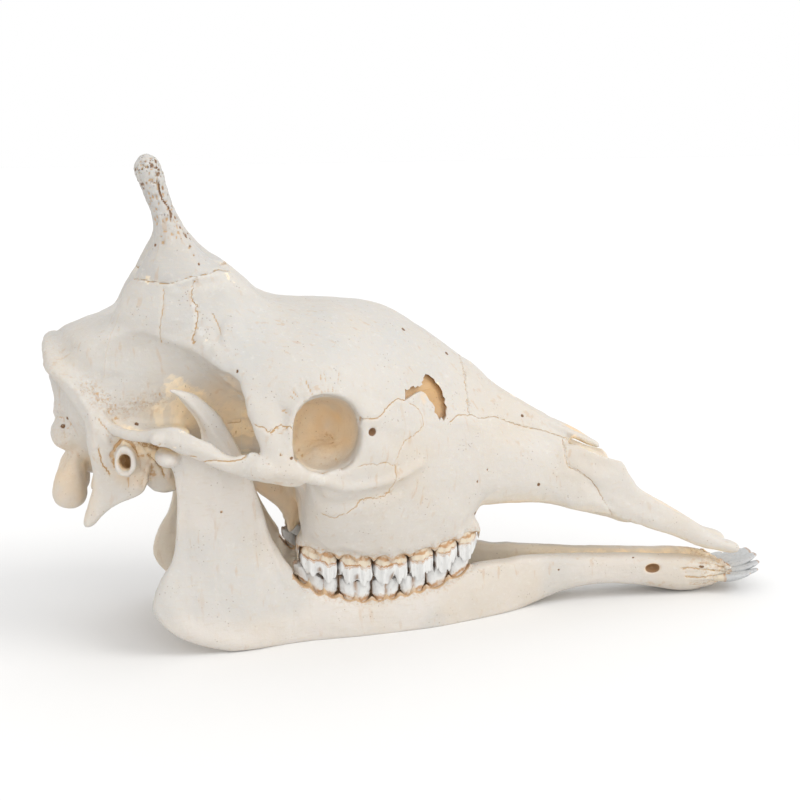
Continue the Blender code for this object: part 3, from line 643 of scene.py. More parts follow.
@dataclass(frozen=True)
class EnamelFinish:
    """Worn enamel: chalk white, with thin brown lines, cream roots, dark painted shade in its chinks and stained
    cracks.

    It reads these numbers that the mesh carries: crown (how far down the crown, from -1 at the root to 1 at the
    edge), root, fold (how near a fold of the crown is) and the dark painted shade of the chinks and the worn top.
    """

    name: str = "enamel"
    white: Triple = (0.66, 0.66, 0.65)
    grey: Triple = (0.40, 0.41, 0.42)
    cream: Triple = (0.64, 0.56, 0.44)
    rust: Triple = (0.42, 0.20, 0.06)
    dark: Triple = (0.20, 0.095, 0.03)
    lines: tuple[tuple[float, float, float], ...] = ((0.03, 0.05, 0.8), (0.33, 0.030, 0.85), (0.41, 0.016, 0.55))
    spread: float = 0.28

    def material(self) -> Material:
        """Builds the material.

        Returns:
            A Principled material with a procedural colour, roughness and bump.
        """
        sheet = NodeSheet(self.name)
        place = sheet.place()
        upright = sheet.stretched(place, (1.0, 1.0, 0.3))
        streaks = sheet.noise(upright, 520.0, 4.0, rough=0.6)
        patches = sheet.noise(place, 180.0, 3.0)
        cracks = sheet.noise(upright, 300.0, 5.0, rough=0.7)
        ragged = sheet.sum([(sheet.number("crown"), 1.0), (patches, self.spread), (cracks, self.spread * 0.6)])
        root = sheet.number("root")
        coats = [
            (self.grey, sheet.ramp(streaks, 0.50, 0.75, 0.45)),
            (self.cream, root),
            (self.rust, sheet.times(root, sheet.ramp(cracks, 0.56, 0.72, 0.35))),
        ]
        for at, half, share in self.lines:
            middle = at + self.spread * 0.8
            below = sheet.ramp(ragged, middle - half * 2, middle - half * 0.5, 1.0)
            above = sheet.ramp(ragged, middle + half * 0.5, middle + half * 2, 0.0, low=1.0)
            strong = sheet.ramp(sheet.noise(place, 140.0, 2.0), 0.32, 0.52, share, low=share * 0.25)
            coats.append((self.rust, sheet.times(sheet.times(below, above), strong)))
        sheet.coat(self.white, [
            *coats,
            (self.rust, sheet.times(sheet.number("fold"), sheet.ramp(patches, 0.3, 0.55, 0.8))),
            (self.rust, sheet.ramp(cracks, 0.64, 0.72, 0.45)),
            # Dark painted shade in the gaps between the teeth, in the forks of the crown and on its worn top.
            (self.dark, sheet.number("gap_shade")),
        ])
        sheet.link(sheet.ramp(patches, 0.2, 0.8, 0.5, low=0.28), sheet.shader.inputs["Roughness"])
        sheet.set("Specular IOR Level", 0.45)
        height = sheet.sum([(streaks, 0.6), (cracks, -0.5), (patches, 0.5)])
        sheet.bump(height, 1.0, BUMP_DEPTH)
        return sheet.made


@dataclass(frozen=True)
class BladeFinish(EnamelFinish):
    """The front teeth: smoother, grey to bluish white."""

    name: str = "blade_enamel"
    white: Triple = (0.50, 0.51, 0.515)
    grey: Triple = (0.19, 0.20, 0.215)
    lines: tuple[tuple[float, float, float], ...] = ((0.42, 0.02, 0.8), (0.97, 0.01, 0.6))
    spread: float = 0.05


class NodeSheet:
    """A material's node tree, with the few tools that the finishes need."""

    def __init__(self, name: str) -> None:
        """Makes a new material with a Principled shader, of that name.

        Args:
            name: The material's name.
        """
        self.made = bpy.data.materials.new(name)
        self.made.use_nodes = True
        self.tree = self.made.node_tree
        self.shader = self.tree.nodes["Principled BSDF"]

    def set(self, name: str, value: float | Triple) -> None:
        """Sets one of the shader's own values."""
        self.shader.inputs[name].default_value = value

    def link(self, out: Socket, into: Socket) -> None:
        """Joins two sockets."""
        self.tree.links.new(out, into)

    def node(self, kind: str, inputs: dict[str | int, Socket | float | Triple] | None = None) -> bpy.types.Node:
        """Makes a node.

        Args:
            kind: Its kind, without the prefix.
            inputs: What goes into it, by the name or number of the input.

        Returns:
            The node.
        """
        made = self.tree.nodes.new("ShaderNode" + kind)
        for name, value in (inputs or {}).items():
            if isinstance(value, Socket):
                self.link(value, made.inputs[name])
            else:
                made.inputs[name].default_value = value
        return made

    def place(self) -> Socket:
        """The place on the object, in metres."""
        return self.node("TexCoord").outputs["Object"]

    def stretched(self, place: Socket, scale: Triple) -> Socket:
        """The place with its axes scaled, so that a pattern is longer along one of them."""
        return self.node("Mapping", {"Vector": place, "Scale": scale}).outputs["Vector"]

    def noise(self, place: Socket, scale: float, detail: float, rough: float = 0.5) -> Socket:
        """Cloudy noise from 0 to 1.

        Args:
            place: Where it is read.
            scale: How many patches a metre has.
            detail: How many finer layers it has.
            rough: How strong those are.

        Returns:
            Its value.
        """
        inputs = {"Vector": place, "Scale": scale, "Detail": detail, "Roughness": rough}
        return self.node("TexNoise", inputs).outputs["Fac"]

    def cells(self, place: Socket, scale: float) -> Socket:
        """How far the middle of the nearest of many random cells is, as a share of a cell."""
        return self.node("TexVoronoi", {"Vector": place, "Scale": scale}).outputs["Distance"]

    def specks(self, place: Socket, scale: float, size: float, share: float) -> Socket:
        """Small round pores.

        Args:
            place: Where they are read.
            scale: How many cells a metre has.
            size: The radius of a pore, as a share of a cell.
            share: How strong a pore is.

        Returns:
            The strength of a pore there.
        """
        near = self.ramp(self.cells(place, scale), size, size * 2.2, 0.0, low=share)
        sparse = self.ramp(self.noise(place, 60.0, 2.0), 0.52, 0.62, 1.0)
        return self.times(near, sparse)

    def pores(self, place: Socket, scale: float, size: float) -> Socket:
        """Pores side by side, of uneven sizes.

        Args:
            place: Where they are read.
            scale: How many cells a metre has.
            size: The radius of a large pore, as a share of a cell.

        Returns:
            The strength of a pore there.
        """
        uneven = self.sum([(self.cells(place, scale), 1.0), (self.noise(place, scale * 0.45, 2.0), 0.5)])
        return self.ramp(uneven, size + 0.08, size + 0.24, 0.0, low=1.0)

    def thin_line(self, place: Socket, half_width: float) -> Socket:
        """The nearest seam as a thin, uneven, partly broken line.

        Args:
            place: Where it is read.
            half_width: About half its width, in millimetres.

        Returns:
            The strength of the line there.
        """
        away = self.reckon("ABSOLUTE", self.number("seam"))
        ragged = self.sum([(away, SEAM_REACH), (self.noise(place, 420.0, 3.0), -half_width * 1.6)])
        edge = -half_width * 0.8
        line = self.ramp(ragged, edge + half_width * 0.7, edge + half_width * 1.7, 0.0, low=1.0)
        return self.times(line, self.ramp(self.noise(place, 190.0, 2.0), 0.30, 0.46, 1.0, low=0.35))

    def ramp(self, value: Socket, start: float, end: float, high: float, low: float = 0.0) -> Socket:
        """A smooth change from low to high as the value goes from start to end.

        Args:
            value: What it follows.
            start: Where the change starts.
            end: Where it ends.
            high: The outcome from the end on.
            low: The outcome up to the start.

        Returns:
            The outcome.
        """
        inputs = {"Value": value, "From Min": start, "From Max": end, "To Min": low, "To Max": high}
        node = self.node("MapRange", inputs)
        node.interpolation_type = "SMOOTHSTEP"
        return node.outputs["Result"]

    def number(self, name: str) -> Socket:
        """A number that the mesh carries."""
        node = self.node("Attribute")
        node.attribute_name = name
        return node.outputs["Fac"]

    def reckon(self, operation: str, *values: Socket | float) -> Socket:
        """The outcome of an operation on one to three values."""
        node = self.node("Math", dict(enumerate(values)))
        node.operation = operation
        return node.outputs[0]

    def times(self, one: Socket, other: Socket) -> Socket:
        """The product of two values."""
        return self.reckon("MULTIPLY", one, other)

    def sum(self, parts: Sequence[tuple[Socket, float]]) -> Socket:
        """The values added up, each times its own weight.

        Args:
            parts: Each value with its weight.

        Returns:
            The sum.
        """
        total: Socket | float = 0.0
        for value, weight in parts:
            total = self.reckon("MULTIPLY_ADD", value, weight, total)
        return total

    def coat(self, base: Triple, coats: Sequence[tuple[Triple, Socket]]) -> None:
        """Gives the shader a colour with others laid over it.

        Args:
            base: The colour below them all.
            coats: Each further colour, with how far it covers what is below it.
        """
        below: Socket | None = None
        for colour, share in coats:
            node = self.node("Mix")
            node.data_type = "RGBA"
            inputs = {s.identifier: s for s in node.inputs}
            inputs["A_Color"].default_value = (*base, 1.0)
            if below is not None:
                self.link(below, inputs["A_Color"])
            inputs["B_Color"].default_value = (*colour, 1.0)
            self.link(share, inputs["Factor_Float"])
            below = {s.identifier: s for s in node.outputs}["Result_Color"]
        self.link(below, self.shader.inputs["Base Color"])

    def bump(self, height: Socket, strength: float, distance: float) -> None:
        """Gives the shader a bump of that height."""
        node = self.node("Bump", {"Height": height, "Strength": strength, "Distance": distance})
        self.link(node.outputs["Normal"], self.shader.inputs["Normal"])


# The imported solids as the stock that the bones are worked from.


@dataclass
class Stock:
    """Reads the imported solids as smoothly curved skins.

    Attributes:
        nodes: The frame's nodes by name.
        splits: How many pieces each edge of a facet is cut into.
        bulge: How far a facet bends towards its neighbours, from 0 to 1.
        swell: How far the skin moves out, so that neighbours across a thin cut fuse.
        crease_degrees: Facets that meet at more than this stay apart.
    """

    nodes: dict[str, Thing]
    splits: int = 4
    bulge: float = 0.7
    swell: float = 0.25
    crease_degrees: float = 50.0

    def faceted(self, name: str) -> tuple[Array, Array]:
        """One solid's facets and the directions at their corners.

        Args:
            name: The node.

        Returns:
            Corners and their normals, each as facets x 3 x 3.
        """
        mesh = bmesh.new()
        mesh.from_mesh(self.nodes[name].data)
        bmesh.ops.remove_doubles(mesh, verts=mesh.verts, dist=2e-6)
        bmesh.ops.triangulate(mesh, faces=mesh.faces)
        data = bpy.data.meshes.new("facets")
        mesh.to_mesh(data)
        mesh.free()
        data.transform(STANCE.to_table())
        data.polygons.foreach_set("use_smooth", np.ones(len(data.polygons), bool))
        data.set_sharp_from_angle(angle=math.radians(self.crease_degrees))
        corners = fetched(data.loops, "vertex_index", np.int32, 1)[:, 0]
        points = fetched(data.vertices, "co", np.float32, 3)[corners]
        normals = fetched(data.corner_normals, "vector", np.float32, 3)
        bpy.data.meshes.remove(data)
        return points.reshape(-1, 3, 3).astype(float), normals.reshape(-1, 3, 3).astype(float)

    def skin(self, names: Iterable[str]) -> Skin:
        """The curved skins of several solids together.

        Args:
            names: The nodes.

        Returns:
            One surface of many small facets.
        """
        n = self.splits
        spots = [(i, j) for i in range(n + 1) for j in range(n + 1 - i)]
        number = {spot: k for k, spot in enumerate(spots)}
        shares = np.array([(i, j, n - i - j) for i, j in spots]) / n
        small = [(number[i, j], number[i + 1, j], number[i, j + 1]) for i, j in spots if i + j < n]
        small += [(number[i + 1, j], number[i + 1, j + 1], number[i, j + 1]) for i, j in spots if i + j < n - 1]
        skins = []
        for name in names:
            corners, normals = self.faceted(name)
            flat = np.einsum("kc,fcx->fkx", shares, corners)
            curved = np.zeros_like(flat)
            for c in range(3):
                away = np.einsum("fkx,fx->fk", flat - corners[:, None, c], normals[:, c])
                curved += shares[None, :, c, None] * (flat - away[..., None] * normals[:, None, c])
            facing = np.einsum("kc,fcx->fkx", shares, normals)
            facing /= np.linalg.norm(facing, axis=2, keepdims=True) + 1e-9
            bent = flat + (curved - flat) * self.bulge + facing * self.swell
            rows = np.array(small)[None] + np.arange(len(corners))[:, None, None] * len(spots)
            skins.append(Skin(bent.reshape(-1, 3), rows.reshape(-1, 3)))
        return joined_skins(skins)


@dataclass
class Hollows:
    """How enclosed each place on the skull is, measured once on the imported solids.

    Attributes:
        reach: How far away a wall still counts, in millimetres.
        rays: How many directions are tried from each place.
        lift: How far off the skin the places lie.
    """

    stock: Stock
    reach: float = 95.0
    rays: int = 20
    lift: float = 3.0
    tree: KDTree = field(init=False)
    values: Array = field(init=False)

    def __post_init__(self) -> None:
        """Measures every facet's middle and corners."""
        corners, normals = [], []
        for name in sorted(self.stock.nodes):
            c, n = self.stock.faceted(name)
            corners.append(c)
            normals.append(n)
        corners, normals = np.vstack(corners), np.vstack(normals)
        walls = BVHTree.FromPolygons(corners.reshape(-1, 3).tolist(),
                                     np.arange(len(corners) * 3).reshape(-1, 3).tolist())
        spots = np.vstack([corners.mean(1), corners[::2, 0]])
        facing = np.vstack([normals.mean(1), normals[::2, 0]])
        facing /= np.linalg.norm(facing, axis=1, keepdims=True) + 1e-9
        dice = np.random.default_rng(SEED)
        around = dice.normal(size=(self.rays, 3))
        around /= np.linalg.norm(around, axis=1, keepdims=True)
        self.values = np.zeros(len(spots))
        self.tree = KDTree(len(spots))
        for i, (spot, face) in enumerate(zip(spots, facing)):
            start = Vector(spot + face * 0.6)
            closed = 0.0
            ways = face * 1.02 + around
            for way in ways:
                distance = walls.ray_cast(start, Vector(way), self.reach)[3]
                if distance is not None:
                    closed += 1 - 0.6 * distance / self.reach
            self.values[i] = closed / self.rays
            self.tree.insert(Vector(spot + face * self.lift), i)
        self.tree.balance()

    def at(self, points: Array, normals: Array) -> Array:
        """How enclosed some places are.

        Args:
            points: The places.
            normals: The directions in which they face.

        Returns:
            0 in the open to 1 deep inside.
        """
        lifted = points + normals * self.lift
        return np.array([
            sum(self.values[i] for _, i, _ in near) / len(near)
            for near in (self.tree.find_n(p, 4) for p in lifted.tolist())
        ])


# Marks on the bone.


@dataclass(frozen=True)
class Seam:
    """A suture or crack that wanders over the bone.

    Attributes:
        path: Places that it passes on the left side, as x, y, z.
        width: How wide it is.
        depth: How deep it is.
        zigzag: How far it wanders to the sides.
        tone: How brown it is, from 0 to 1.
    """

    path: Knots
    width: float = 0.8
    depth: float = 0.5
    zigzag: float = 0.8
    tone: float = 0.8

    def line(self) -> Array:
        """The seam's own wandering line.

        Returns:
            One row of x, y, z a point, from end to end.
        """
        rows = spline(self.path, 4)
        lengths = np.r_[0, np.cumsum(np.linalg.norm(np.diff(rows, axis=0), axis=1))]
        at = np.arange(0, lengths[-1], 1.6)
        line = np.stack([np.interp(at, lengths, rows[:, c]) for c in range(3)], 1)
        dice = np.random.default_rng(int(abs(rows).sum()) + SEED)
        sway = dice.uniform(-1, 1, (len(line), 3)) * self.zigzag
        sway[:, 1] *= 0.3
        return line + sway

    def away(self, points: Array, normals: Array) -> tuple[Array, Array]:
        """How far some places are from the seam.

        Args:
            points: The places, folded onto the left side.
            normals: The directions in which they face.

        Returns:
            The numbers of the places that are near, and how far they are, less than 0 on the seam's right.
        """
        line = self.line()
        margin = max(SEAM_REACH, self.width * 2.5)
        inside = np.all((points > line.min(0) - margin) & (points < line.max(0) + margin), axis=1)
        near = np.nonzero(inside)[0]
        place, facing = points[near], normals[near]
        best = np.full(len(near), FAR)
        for a, b in zip(line, line[1:]):
            way = b - a
            gap = place - a
            along = np.clip(gap @ way / (way @ way + 1e-9), 0, 1)
            off = gap - along[:, None] * way
            height = np.einsum("ij,ij->i", off, facing)
            flat = np.sqrt(np.maximum(np.einsum("ij,ij->i", off, off) - height ** 2, 0))
            flat = np.where(np.abs(height) < margin, flat, FAR)
            side = np.where(np.einsum("ij,ij->i", np.cross(way, off), facing) < 0, -1.0, 1.0)
            best = np.where(flat < np.abs(best), flat * side, best)
        return near, best

    def nearness(self, points: Array, normals: Array) -> tuple[Array, Array]:
        """How near to the seam some places are, as away gives them, but as shares from 0 to 1."""
        near, gap = self.away(points, normals)
        return near, np.exp(-(gap / self.width) ** 2)


@dataclass(frozen=True)
class Pit:
    """A small hole or dent.

    Attributes:
        place: Its middle on the left side, as x, y, z.
        radius: Its radius.
        depth: Its depth, less than 0 for a knob.
        long: How many times longer it is than high.
    """

    place: Sequence[float]
    radius: float
    depth: float
    long: float = 1.0

    def gap(self, points: Array, normals: Array) -> Array:
        """How far each place is from the middle along the skin, as a share of the radius.

        Args:
            points: The places, folded onto the left side.
            normals: The directions in which they face.

        Returns:
            0 in the middle, 1 on the rim and much more on another face of the bone.
        """
        off = points - self.place
        height = np.einsum("ij,ij->i", off, normals)
        flat = (off - height[:, None] * normals) / (self.radius * self.long, self.radius, self.radius)
        return np.linalg.norm(flat, axis=1) + (np.abs(height) > SEAM_REACH) * FAR


@dataclass(frozen=True)
class Swell:
    """A long ridge, or a valley if its height is below 0.

    Attributes:
        path: Places that it passes on the left side, as x, y, z.
        height: How far it stands out.
        width: How wide it is.
    """

    path: Knots
    height: float
    width: float


@dataclass(frozen=True)
class Tint:
    """A tint inside an egg-shaped space, which places golden painted shade in hollows and holes, golden and brown
    stains, and the craggy and spongy zones.

    Attributes:
        place: Its middle on the left side, as x, y, z.
        reach: Its half sizes.
        share: How strong it is.
    """

    place: Sequence[float]
    reach: Sequence[float]
    share: float

    def at(self, points: Array) -> Array:
        """How strong it is at each place, which is folded onto the left side."""
        gap = np.linalg.norm((points - self.place) / self.reach, axis=1)
        return (1 - step(0.6, 1.15, gap)) * self.share


def folded(points: Array, *directions: Array) -> list[Array]:
    """The places, and directions there, as they would be on the left side."""
    flip = np.stack([np.ones(len(points)), np.where(points[:, 1] < 0, -1.0, 1.0), np.ones(len(points))], 1)
    return [rows * flip for rows in (points, *directions)]


def craggy(points: Array, zones: Iterable[Tint]) -> Array:
    """The narrow folds of rough bone inside some spaces.

    Args:
        points: Places on the bone.
        zones: The spaces, on the left side, with how deep their folds are.

    Returns:
        How far each place moves.
    """
    rough = sum(zone.at(*folded(points)) for zone in zones)
    folds = 1 - np.abs(noise(points, 9.5, 41)) * 1.9
    fine = 1 - np.abs(noise(points, 4.2, 42)) * 2.4
    return -rough * (np.maximum(folds, 0) * 1.5 + np.maximum(fine, 0) * 0.35 - 0.4)


@dataclass
class Marks:
    """Everything that is drawn into one bone: its seams, holes and ridges.

    Attributes:
        seams: Its sutures and cracks.
        pits: Its holes and dents.
        swells: Its ridges and valleys.
    """

    seams: Sequence[Seam]
    pits: Sequence[Pit]
    swells: Sequence[Swell]

    def height(self, points: Array, normals: Array) -> Array:
        """How far the marks move each place out.

        Args:
            points: Places on the bone.
            normals: The directions in which they face.

        Returns:
            Millimetres.
        """
        place, facing = folded(points, normals)
        height = np.zeros(len(points))
        for seam in self.seams:
            near, share = seam.nearness(place, facing)
            height[near] -= share * seam.depth
        for pit in self.pits:
            height -= np.exp(-np.minimum(pit.gap(place, facing), 9) ** 4) * pit.depth
        for swell in self.swells:
            near, share = Seam(swell.path, width=swell.width, zigzag=0.0).nearness(place, facing)
            height[near] += share * swell.height
        return height

    def draw(self, piece: Thing, points: Array, normals: Array, holes: Array | float = 0.0) -> None:
        """Stores where the seams are, and the holes, which the finish paints dark brown as their shade.

        Args:
            piece: The bone.
            points: Its places.
            normals: The directions in which they face.
            holes: Further holes, from 0 to 1 a place.
        """
        place, facing = folded(points, normals)
        nearest, strength = np.full(len(points), SEAM_REACH), np.zeros(len(points))
        for seam in self.seams:
            near, gap = seam.away(place, facing)
            closer = np.abs(gap) < np.abs(nearest[near])
            nearest[near[closer]] = gap[closer]
            share = np.exp(-(gap / 1.7) ** 2) * seam.tone
            strength[near] = np.maximum(strength[near], share)
        # Each hole gets dark painted shade.
        hole = np.zeros(len(points)) + holes
        for pit in self.pits:
            hole = np.maximum(hole, 1 - pit.gap(place, facing) / 2)
        paint(piece, seam=nearest / SEAM_REACH, near=strength, hole=hole)


# The cheek teeth and the height at which their rows meet.

BITE: Knots = (
    (-124, 67), (-110, 59), (-92, 50.8), (-76, 46.8), (-62, 45), (-37, 44), (-14, 45.5), (10, 50), (31, 58.5),
    (50, 70),
)


@dataclass(frozen=True)
class CheekTeeth:
    """One row of worn cheek teeth.

    Attributes:
        row: Whether it is the upper or the lower row.
        ends: Where each tooth ends, from the rear, as x.
        lobes: How many lobes each tooth has.
        table: The row as x, middle y, half width, neck z and z of the outer points.
        around: How many points a tooth has round it.
        root: How deep a tooth sits in the bone.
        gap: The space between two teeth.
        wall: How far the outer wall of an upper tooth is thinned at its edge, as a share of its half width.
        corner: How round a tooth is seen from above, from 0 for a rectangle to 1 for an ellipse.
        levels: The crown's cross sections, as a share of its height, then shares of its length, width and ribs.
    """

    row: Row
    ends: Sequence[float]
    lobes: Sequence[int]
    table: Knots
    around: int = 128
    root: float = 9.0
    gap: float = 0.3
    wall: float = 0.8
    corner: float = 0.56
    levels: Knots = (
        (-0.45, 0.74, 0.74, 0.2), (-0.08, 0.83, 0.87, 0.4), (0.05, 0.87, 0.91, 0.5), (0.16, 0.92, 0.95, 0.6),
        (0.28, 0.965, 0.985, 0.7), (0.33, 0.95, 0.955, 0.85), (0.5, 0.985, 0.975, 1.0), (0.66, 1.0, 0.99, 1.2),
        (0.82, 1.0, 1.0, 1.35), (0.93, 0.985, 0.985, 1.3), (1.0, 0.95, 0.94, 1.0),
    )

    @staticmethod
    def lobe_at(along: Array, lobes: int) -> Array:
        """How far through its lobe each place is, from 0 to 1."""
        return (along + 1) / 2 * lobes % 1

    def outer_ribs(self, along: Array, lobes: int) -> Array:
        """How far the cheek side stands out.

        Args:
            along: Places from -1 at the rear end to 1 at the front end.
            lobes: How many lobes the tooth has.

        Returns:
            Millimetres at each place.
        """
        if self.row is Row.LOWER:
            return 3.4 * np.sin(self.lobe_at(along, lobes) * math.pi) ** 0.55 - 2.2
        ribs = [(0.90, 2.1, 0.11), (-0.90, 1.2, 0.11)]
        ribs += [(0.45, 1.6, 0.13), (0.02, 2.9, 0.10), (-0.45, 1.3, 0.14)] if lobes > 1 else [(0.05, 2.4, 0.22)]
        return sum(height * np.exp(-((along - at) / wide) ** 2) for at, height, wide in ribs) - 1.5

    def tongue_ribs(self, along: Array, lobes: int) -> Array:
        """How far the tongue side stands out, as outer_ribs gives it for the cheek side."""
        deep = 2.4 if self.row is Row.UPPER else 1.2
        return deep * np.sin(self.lobe_at(along, lobes) * math.pi) ** 0.6 - deep * 0.7

    def edge(self, along: Array, lobes: int, dice: np.random.Generator) -> Array:
        """How far the worn edge of the crown falls short of its points.

        Args:
            along: Places from -1 at the rear end to 1 at the front end.
            lobes: How many lobes the tooth has.
            dice: The source of its chips.

        Returns:
            Millimetres at each place.
        """
        lean = dice.uniform(-0.12, 0.12)
        lobe = self.lobe_at(along, lobes)
        lobe = np.clip(lobe + lean * np.sin(lobe * math.pi), 0, 1)
        short = (1 - np.sin(lobe * math.pi) ** 1.1) * dice.uniform(5.5, 9.0)
        for _ in range(6):
            at, wide, deep = dice.uniform(-0.9, 0.9), dice.uniform(0.05, 0.13), dice.uniform(0.8, 4.0)
            short += deep * np.exp(-((along - at) / wide) ** 2)
        jag = dice.normal(0, 0.35, len(along))
        return short + (jag + np.roll(jag, 1) + np.roll(jag, -1)) * 0.6

    def tooth(self, index: int, dice: np.random.Generator) -> tuple[Skin, dict[str, Array]]:
        """One tooth of the left side.

        Args:
            index: Its number in the row, from the rear.
            dice: The source of its small differences.

        Returns:
            Its closed skin, and the numbers that its finish reads.
        """
        way, lobes = self.row.value, self.lobes[index]
        start, end = self.ends[index], self.ends[index + 1]
        middle, half = (start + end) / 2, (end - start - self.gap) / 2
        plan_x, plan_y = rounded(self.around, self.corner)
        cheek, tongue = step(0.15, 0.7, plan_y), step(0.15, 0.7, -plan_y)
        ribs = cheek * self.outer_ribs(plan_x, lobes) - tongue * self.tongue_ribs(plan_x, lobes)
        x_rim = middle + plan_x * half
        mid_y, half_y, neck, point = read_row(self.table, x_rim).T
        bite = read_row(BITE, x_rim)[:, 0] - way * 0.35
        lobe = self.lobe_at(plan_x, lobes)
        short = self.edge(plan_x, lobes, dice)
        if self.row is Row.UPPER:
            rim = bite + (point + short - bite) * step(0.2, 0.75, plan_y)
        else:
            rim = bite - short * 0.5 * (cheek + tongue * 0.5)
        lean, skew = dice.uniform(-0.8, 0.8), dice.uniform(-0.6, 0.6)
        rings, shares = [], []
        for share, long, wide, rib in spline(self.levels, 3):
            depth = neck - way * self.root if share < -0.2 else neck + (rim - neck) * share
            x = middle + plan_x * half * long + lean * share
            y = mid_y + plan_y * half_y * wide + ribs * rib + skew * share
            rings.append(np.stack([x, y, depth], 1))
            shares.append(np.full(self.around, share))
        for inset, sink in ((0.9, 0.3), (self.wall, 0.0), (0.62, 1.5), (0.42, 0.2), (0.22, 1.6)):
            dent = sink * (0.6 + 0.4 * np.cos(lobe * math.tau))
            floor = rim - way * 0.4 if inset > 0.85 else bite - way * dent
            x = middle + plan_x * half * inset * 0.97 + lean
            y = mid_y + plan_y * half_y * inset * 0.955 + ribs * inset + skew
            rings.append(np.stack([x, y, floor], 1))
            shares.append(np.ones(self.around))
        skin = bridged(rings)
        share = np.r_[np.concatenate(shares), -0.4, 1.0]
        around = np.r_[np.tile(plan_x, len(rings)), 0.0, 0.0]
        numbers = self.stains(share, around, lobes)
        # The worn top, which shows through the notches, gets dark painted shade.
        numbers["gap_shade"][(len(rings) - 4) * self.around:] = 0.5
        return skin, numbers

    def stains(self, share: Array, along: Array, lobes: int) -> dict[str, Array]:
        """What the finish reads on one tooth.

        Args:
            share: How far down the crown each point is, from 0 at the neck to 1 at the edge.
            along: Where each point is from -1 at the rear end to 1 at the front end.
            lobes: How many lobes the tooth has.

        Returns:
            The finish's numbers, by name.
        """
        lobe = self.lobe_at(along, lobes)
        fold = np.minimum(lobe, 1 - lobe)
        # The ends of a tooth, where it meets the next, and the forks near its edge get dark painted shade.
        ends = step(0.93, 0.99, np.abs(along))
        if self.row is Row.LOWER:
            return {"crown": 0.05 - share * 0.5, "root": (1 - step(0.0, 0.4, share)) * 0.5,
                    "fold": np.exp(-(fold / 0.05) ** 2) * 0.9, "gap_shade": ends * 0.5}
        inner = np.exp(-(fold / 0.05) ** 2)
        fork = inner * step(0.66, 0.80, share) * (1 - step(0.93, 0.98, share))
        return {"crown": share, "root": 1 - step(0.24, 0.40, share), "fold": inner * (1 - step(0.3, 0.5, share)),
                "gap_shade": np.maximum(ends * (1 - step(0.3, 0.6, share)) * 0.6, fork * 0.85)}

    def build(self, name: str, side: Side) -> Thing:
        """Builds the row.

        Args:
            name: The piece's name.
            side: Its side.

        Returns:
            One object with all its teeth, dressed in enamel's numbers.
        """
        dice = np.random.default_rng(SEED + self.row.value + 10 * side.value)
        teeth = [self.tooth(i, dice) for i in range(len(self.lobes))]
        skin = joined_skins([t[0].on(side) for t in teeth])
        made = mesh_object(name, skin)
        facing = read_normals(made)
        upright = skin.points * (1, 1, 0.25)
        ripple = noise(upright, 1.3, 3) * 0.22 + noise(skin.points, 3.2, 5) * 0.4
        write_points(made, skin.points + facing * ripple[:, None])
        paint(made, **{stain: np.concatenate([t[1][stain] for t in teeth]) for stain in teeth[0][1]})
        return made

    def socket(self, low: float, high: float) -> Skin:
        """The space of the left row's crowns, to clear the stock there.

        Args:
            low: The lesser Y of the space.
            high: The greater Y of the space.

        Returns:
            A closed block whose edge follows the necks.
        """
        rings = []
        way = self.row.value
        far = 0.0 if self.row is Row.UPPER else 80.0
        for x in np.linspace(self.ends[0] - 1, self.ends[-1] + 1, 170):
            neck = float(read_row(self.table, x)[0, 2]) - way * self.scallop(x)
            rings.append(np.array([(x, low, far), (x, high, far), (x, high, neck), (x, low, neck)]))
        return bridged(rings)

    def scallop(self, x: Array | float) -> Array:
        """How far the bone draws back from the crown at x: most in the middle of each lobe.

        Args:
            x: Where along the row.

        Returns:
            Millimetres, less than 0 where it reaches past the neck.
        """
        ends, lobes = np.array(self.ends), np.array(self.lobes)
        index = np.clip(np.searchsorted(ends, x) - 1, 0, len(lobes) - 1)
        share = np.clip((x - ends[index]) / (ends[index + 1] - ends[index]), 0, 1)
        return 2.4 * np.abs(np.sin(share * lobes[index] * math.pi)) - 0.6

    def gum(self, points: Array) -> Array:
        """How near the edge round the crowns each place on the bone is, from 0 to 1.

        Args:
            points: Places on the bone.

        Returns:
            One share a place.
        """
        x, y, z = points.T
        edge = read_row(self.table, x)[:, 2] - self.row.value * self.scallop(x)
        away = (edge - z) * self.row.value
        beside = (x > self.ends[0] - 2) & (x < self.ends[-1] + 2) & (np.abs(y) > 28) & (np.abs(y) < 76)
        return (1 - step(0.4, 1.9, away)) * (0.45 + 0.55 * step(-4, -1.5, away)) * beside

    def thorns(self) -> list[Skin]:
        """The small points of bone that reach between the lobes of the left row.

        Returns:
            Closed skins that overlap the bone.
        """
        way, made = self.row.value, []
        for start, end, lobes in zip(self.ends, self.ends[1:], self.lobes):
            for i in range(lobes):
                x = start + (end - start) * i / lobes
                mid_y, half_y, neck, _ = read_row(self.table, x)[0]
                long = 3.4 if i == 0 else 5.4
                if i == 0 and start == self.ends[0]:
                    continue
                for sign in (1, -1):
                    y = mid_y + sign * (half_y - 0.6)
                    knots = ((x, y, neck - way * 6, 4.6, 2.2), (x, y, neck, 3.6, 1.8),
                             (x, y, neck + way * long * 0.55, 1.7, 1.2), (x, y, neck + way * long, 0.5, 0.6))
                    made.append(limb(knots, across=(1, 0, 0), sides=10))
        return made


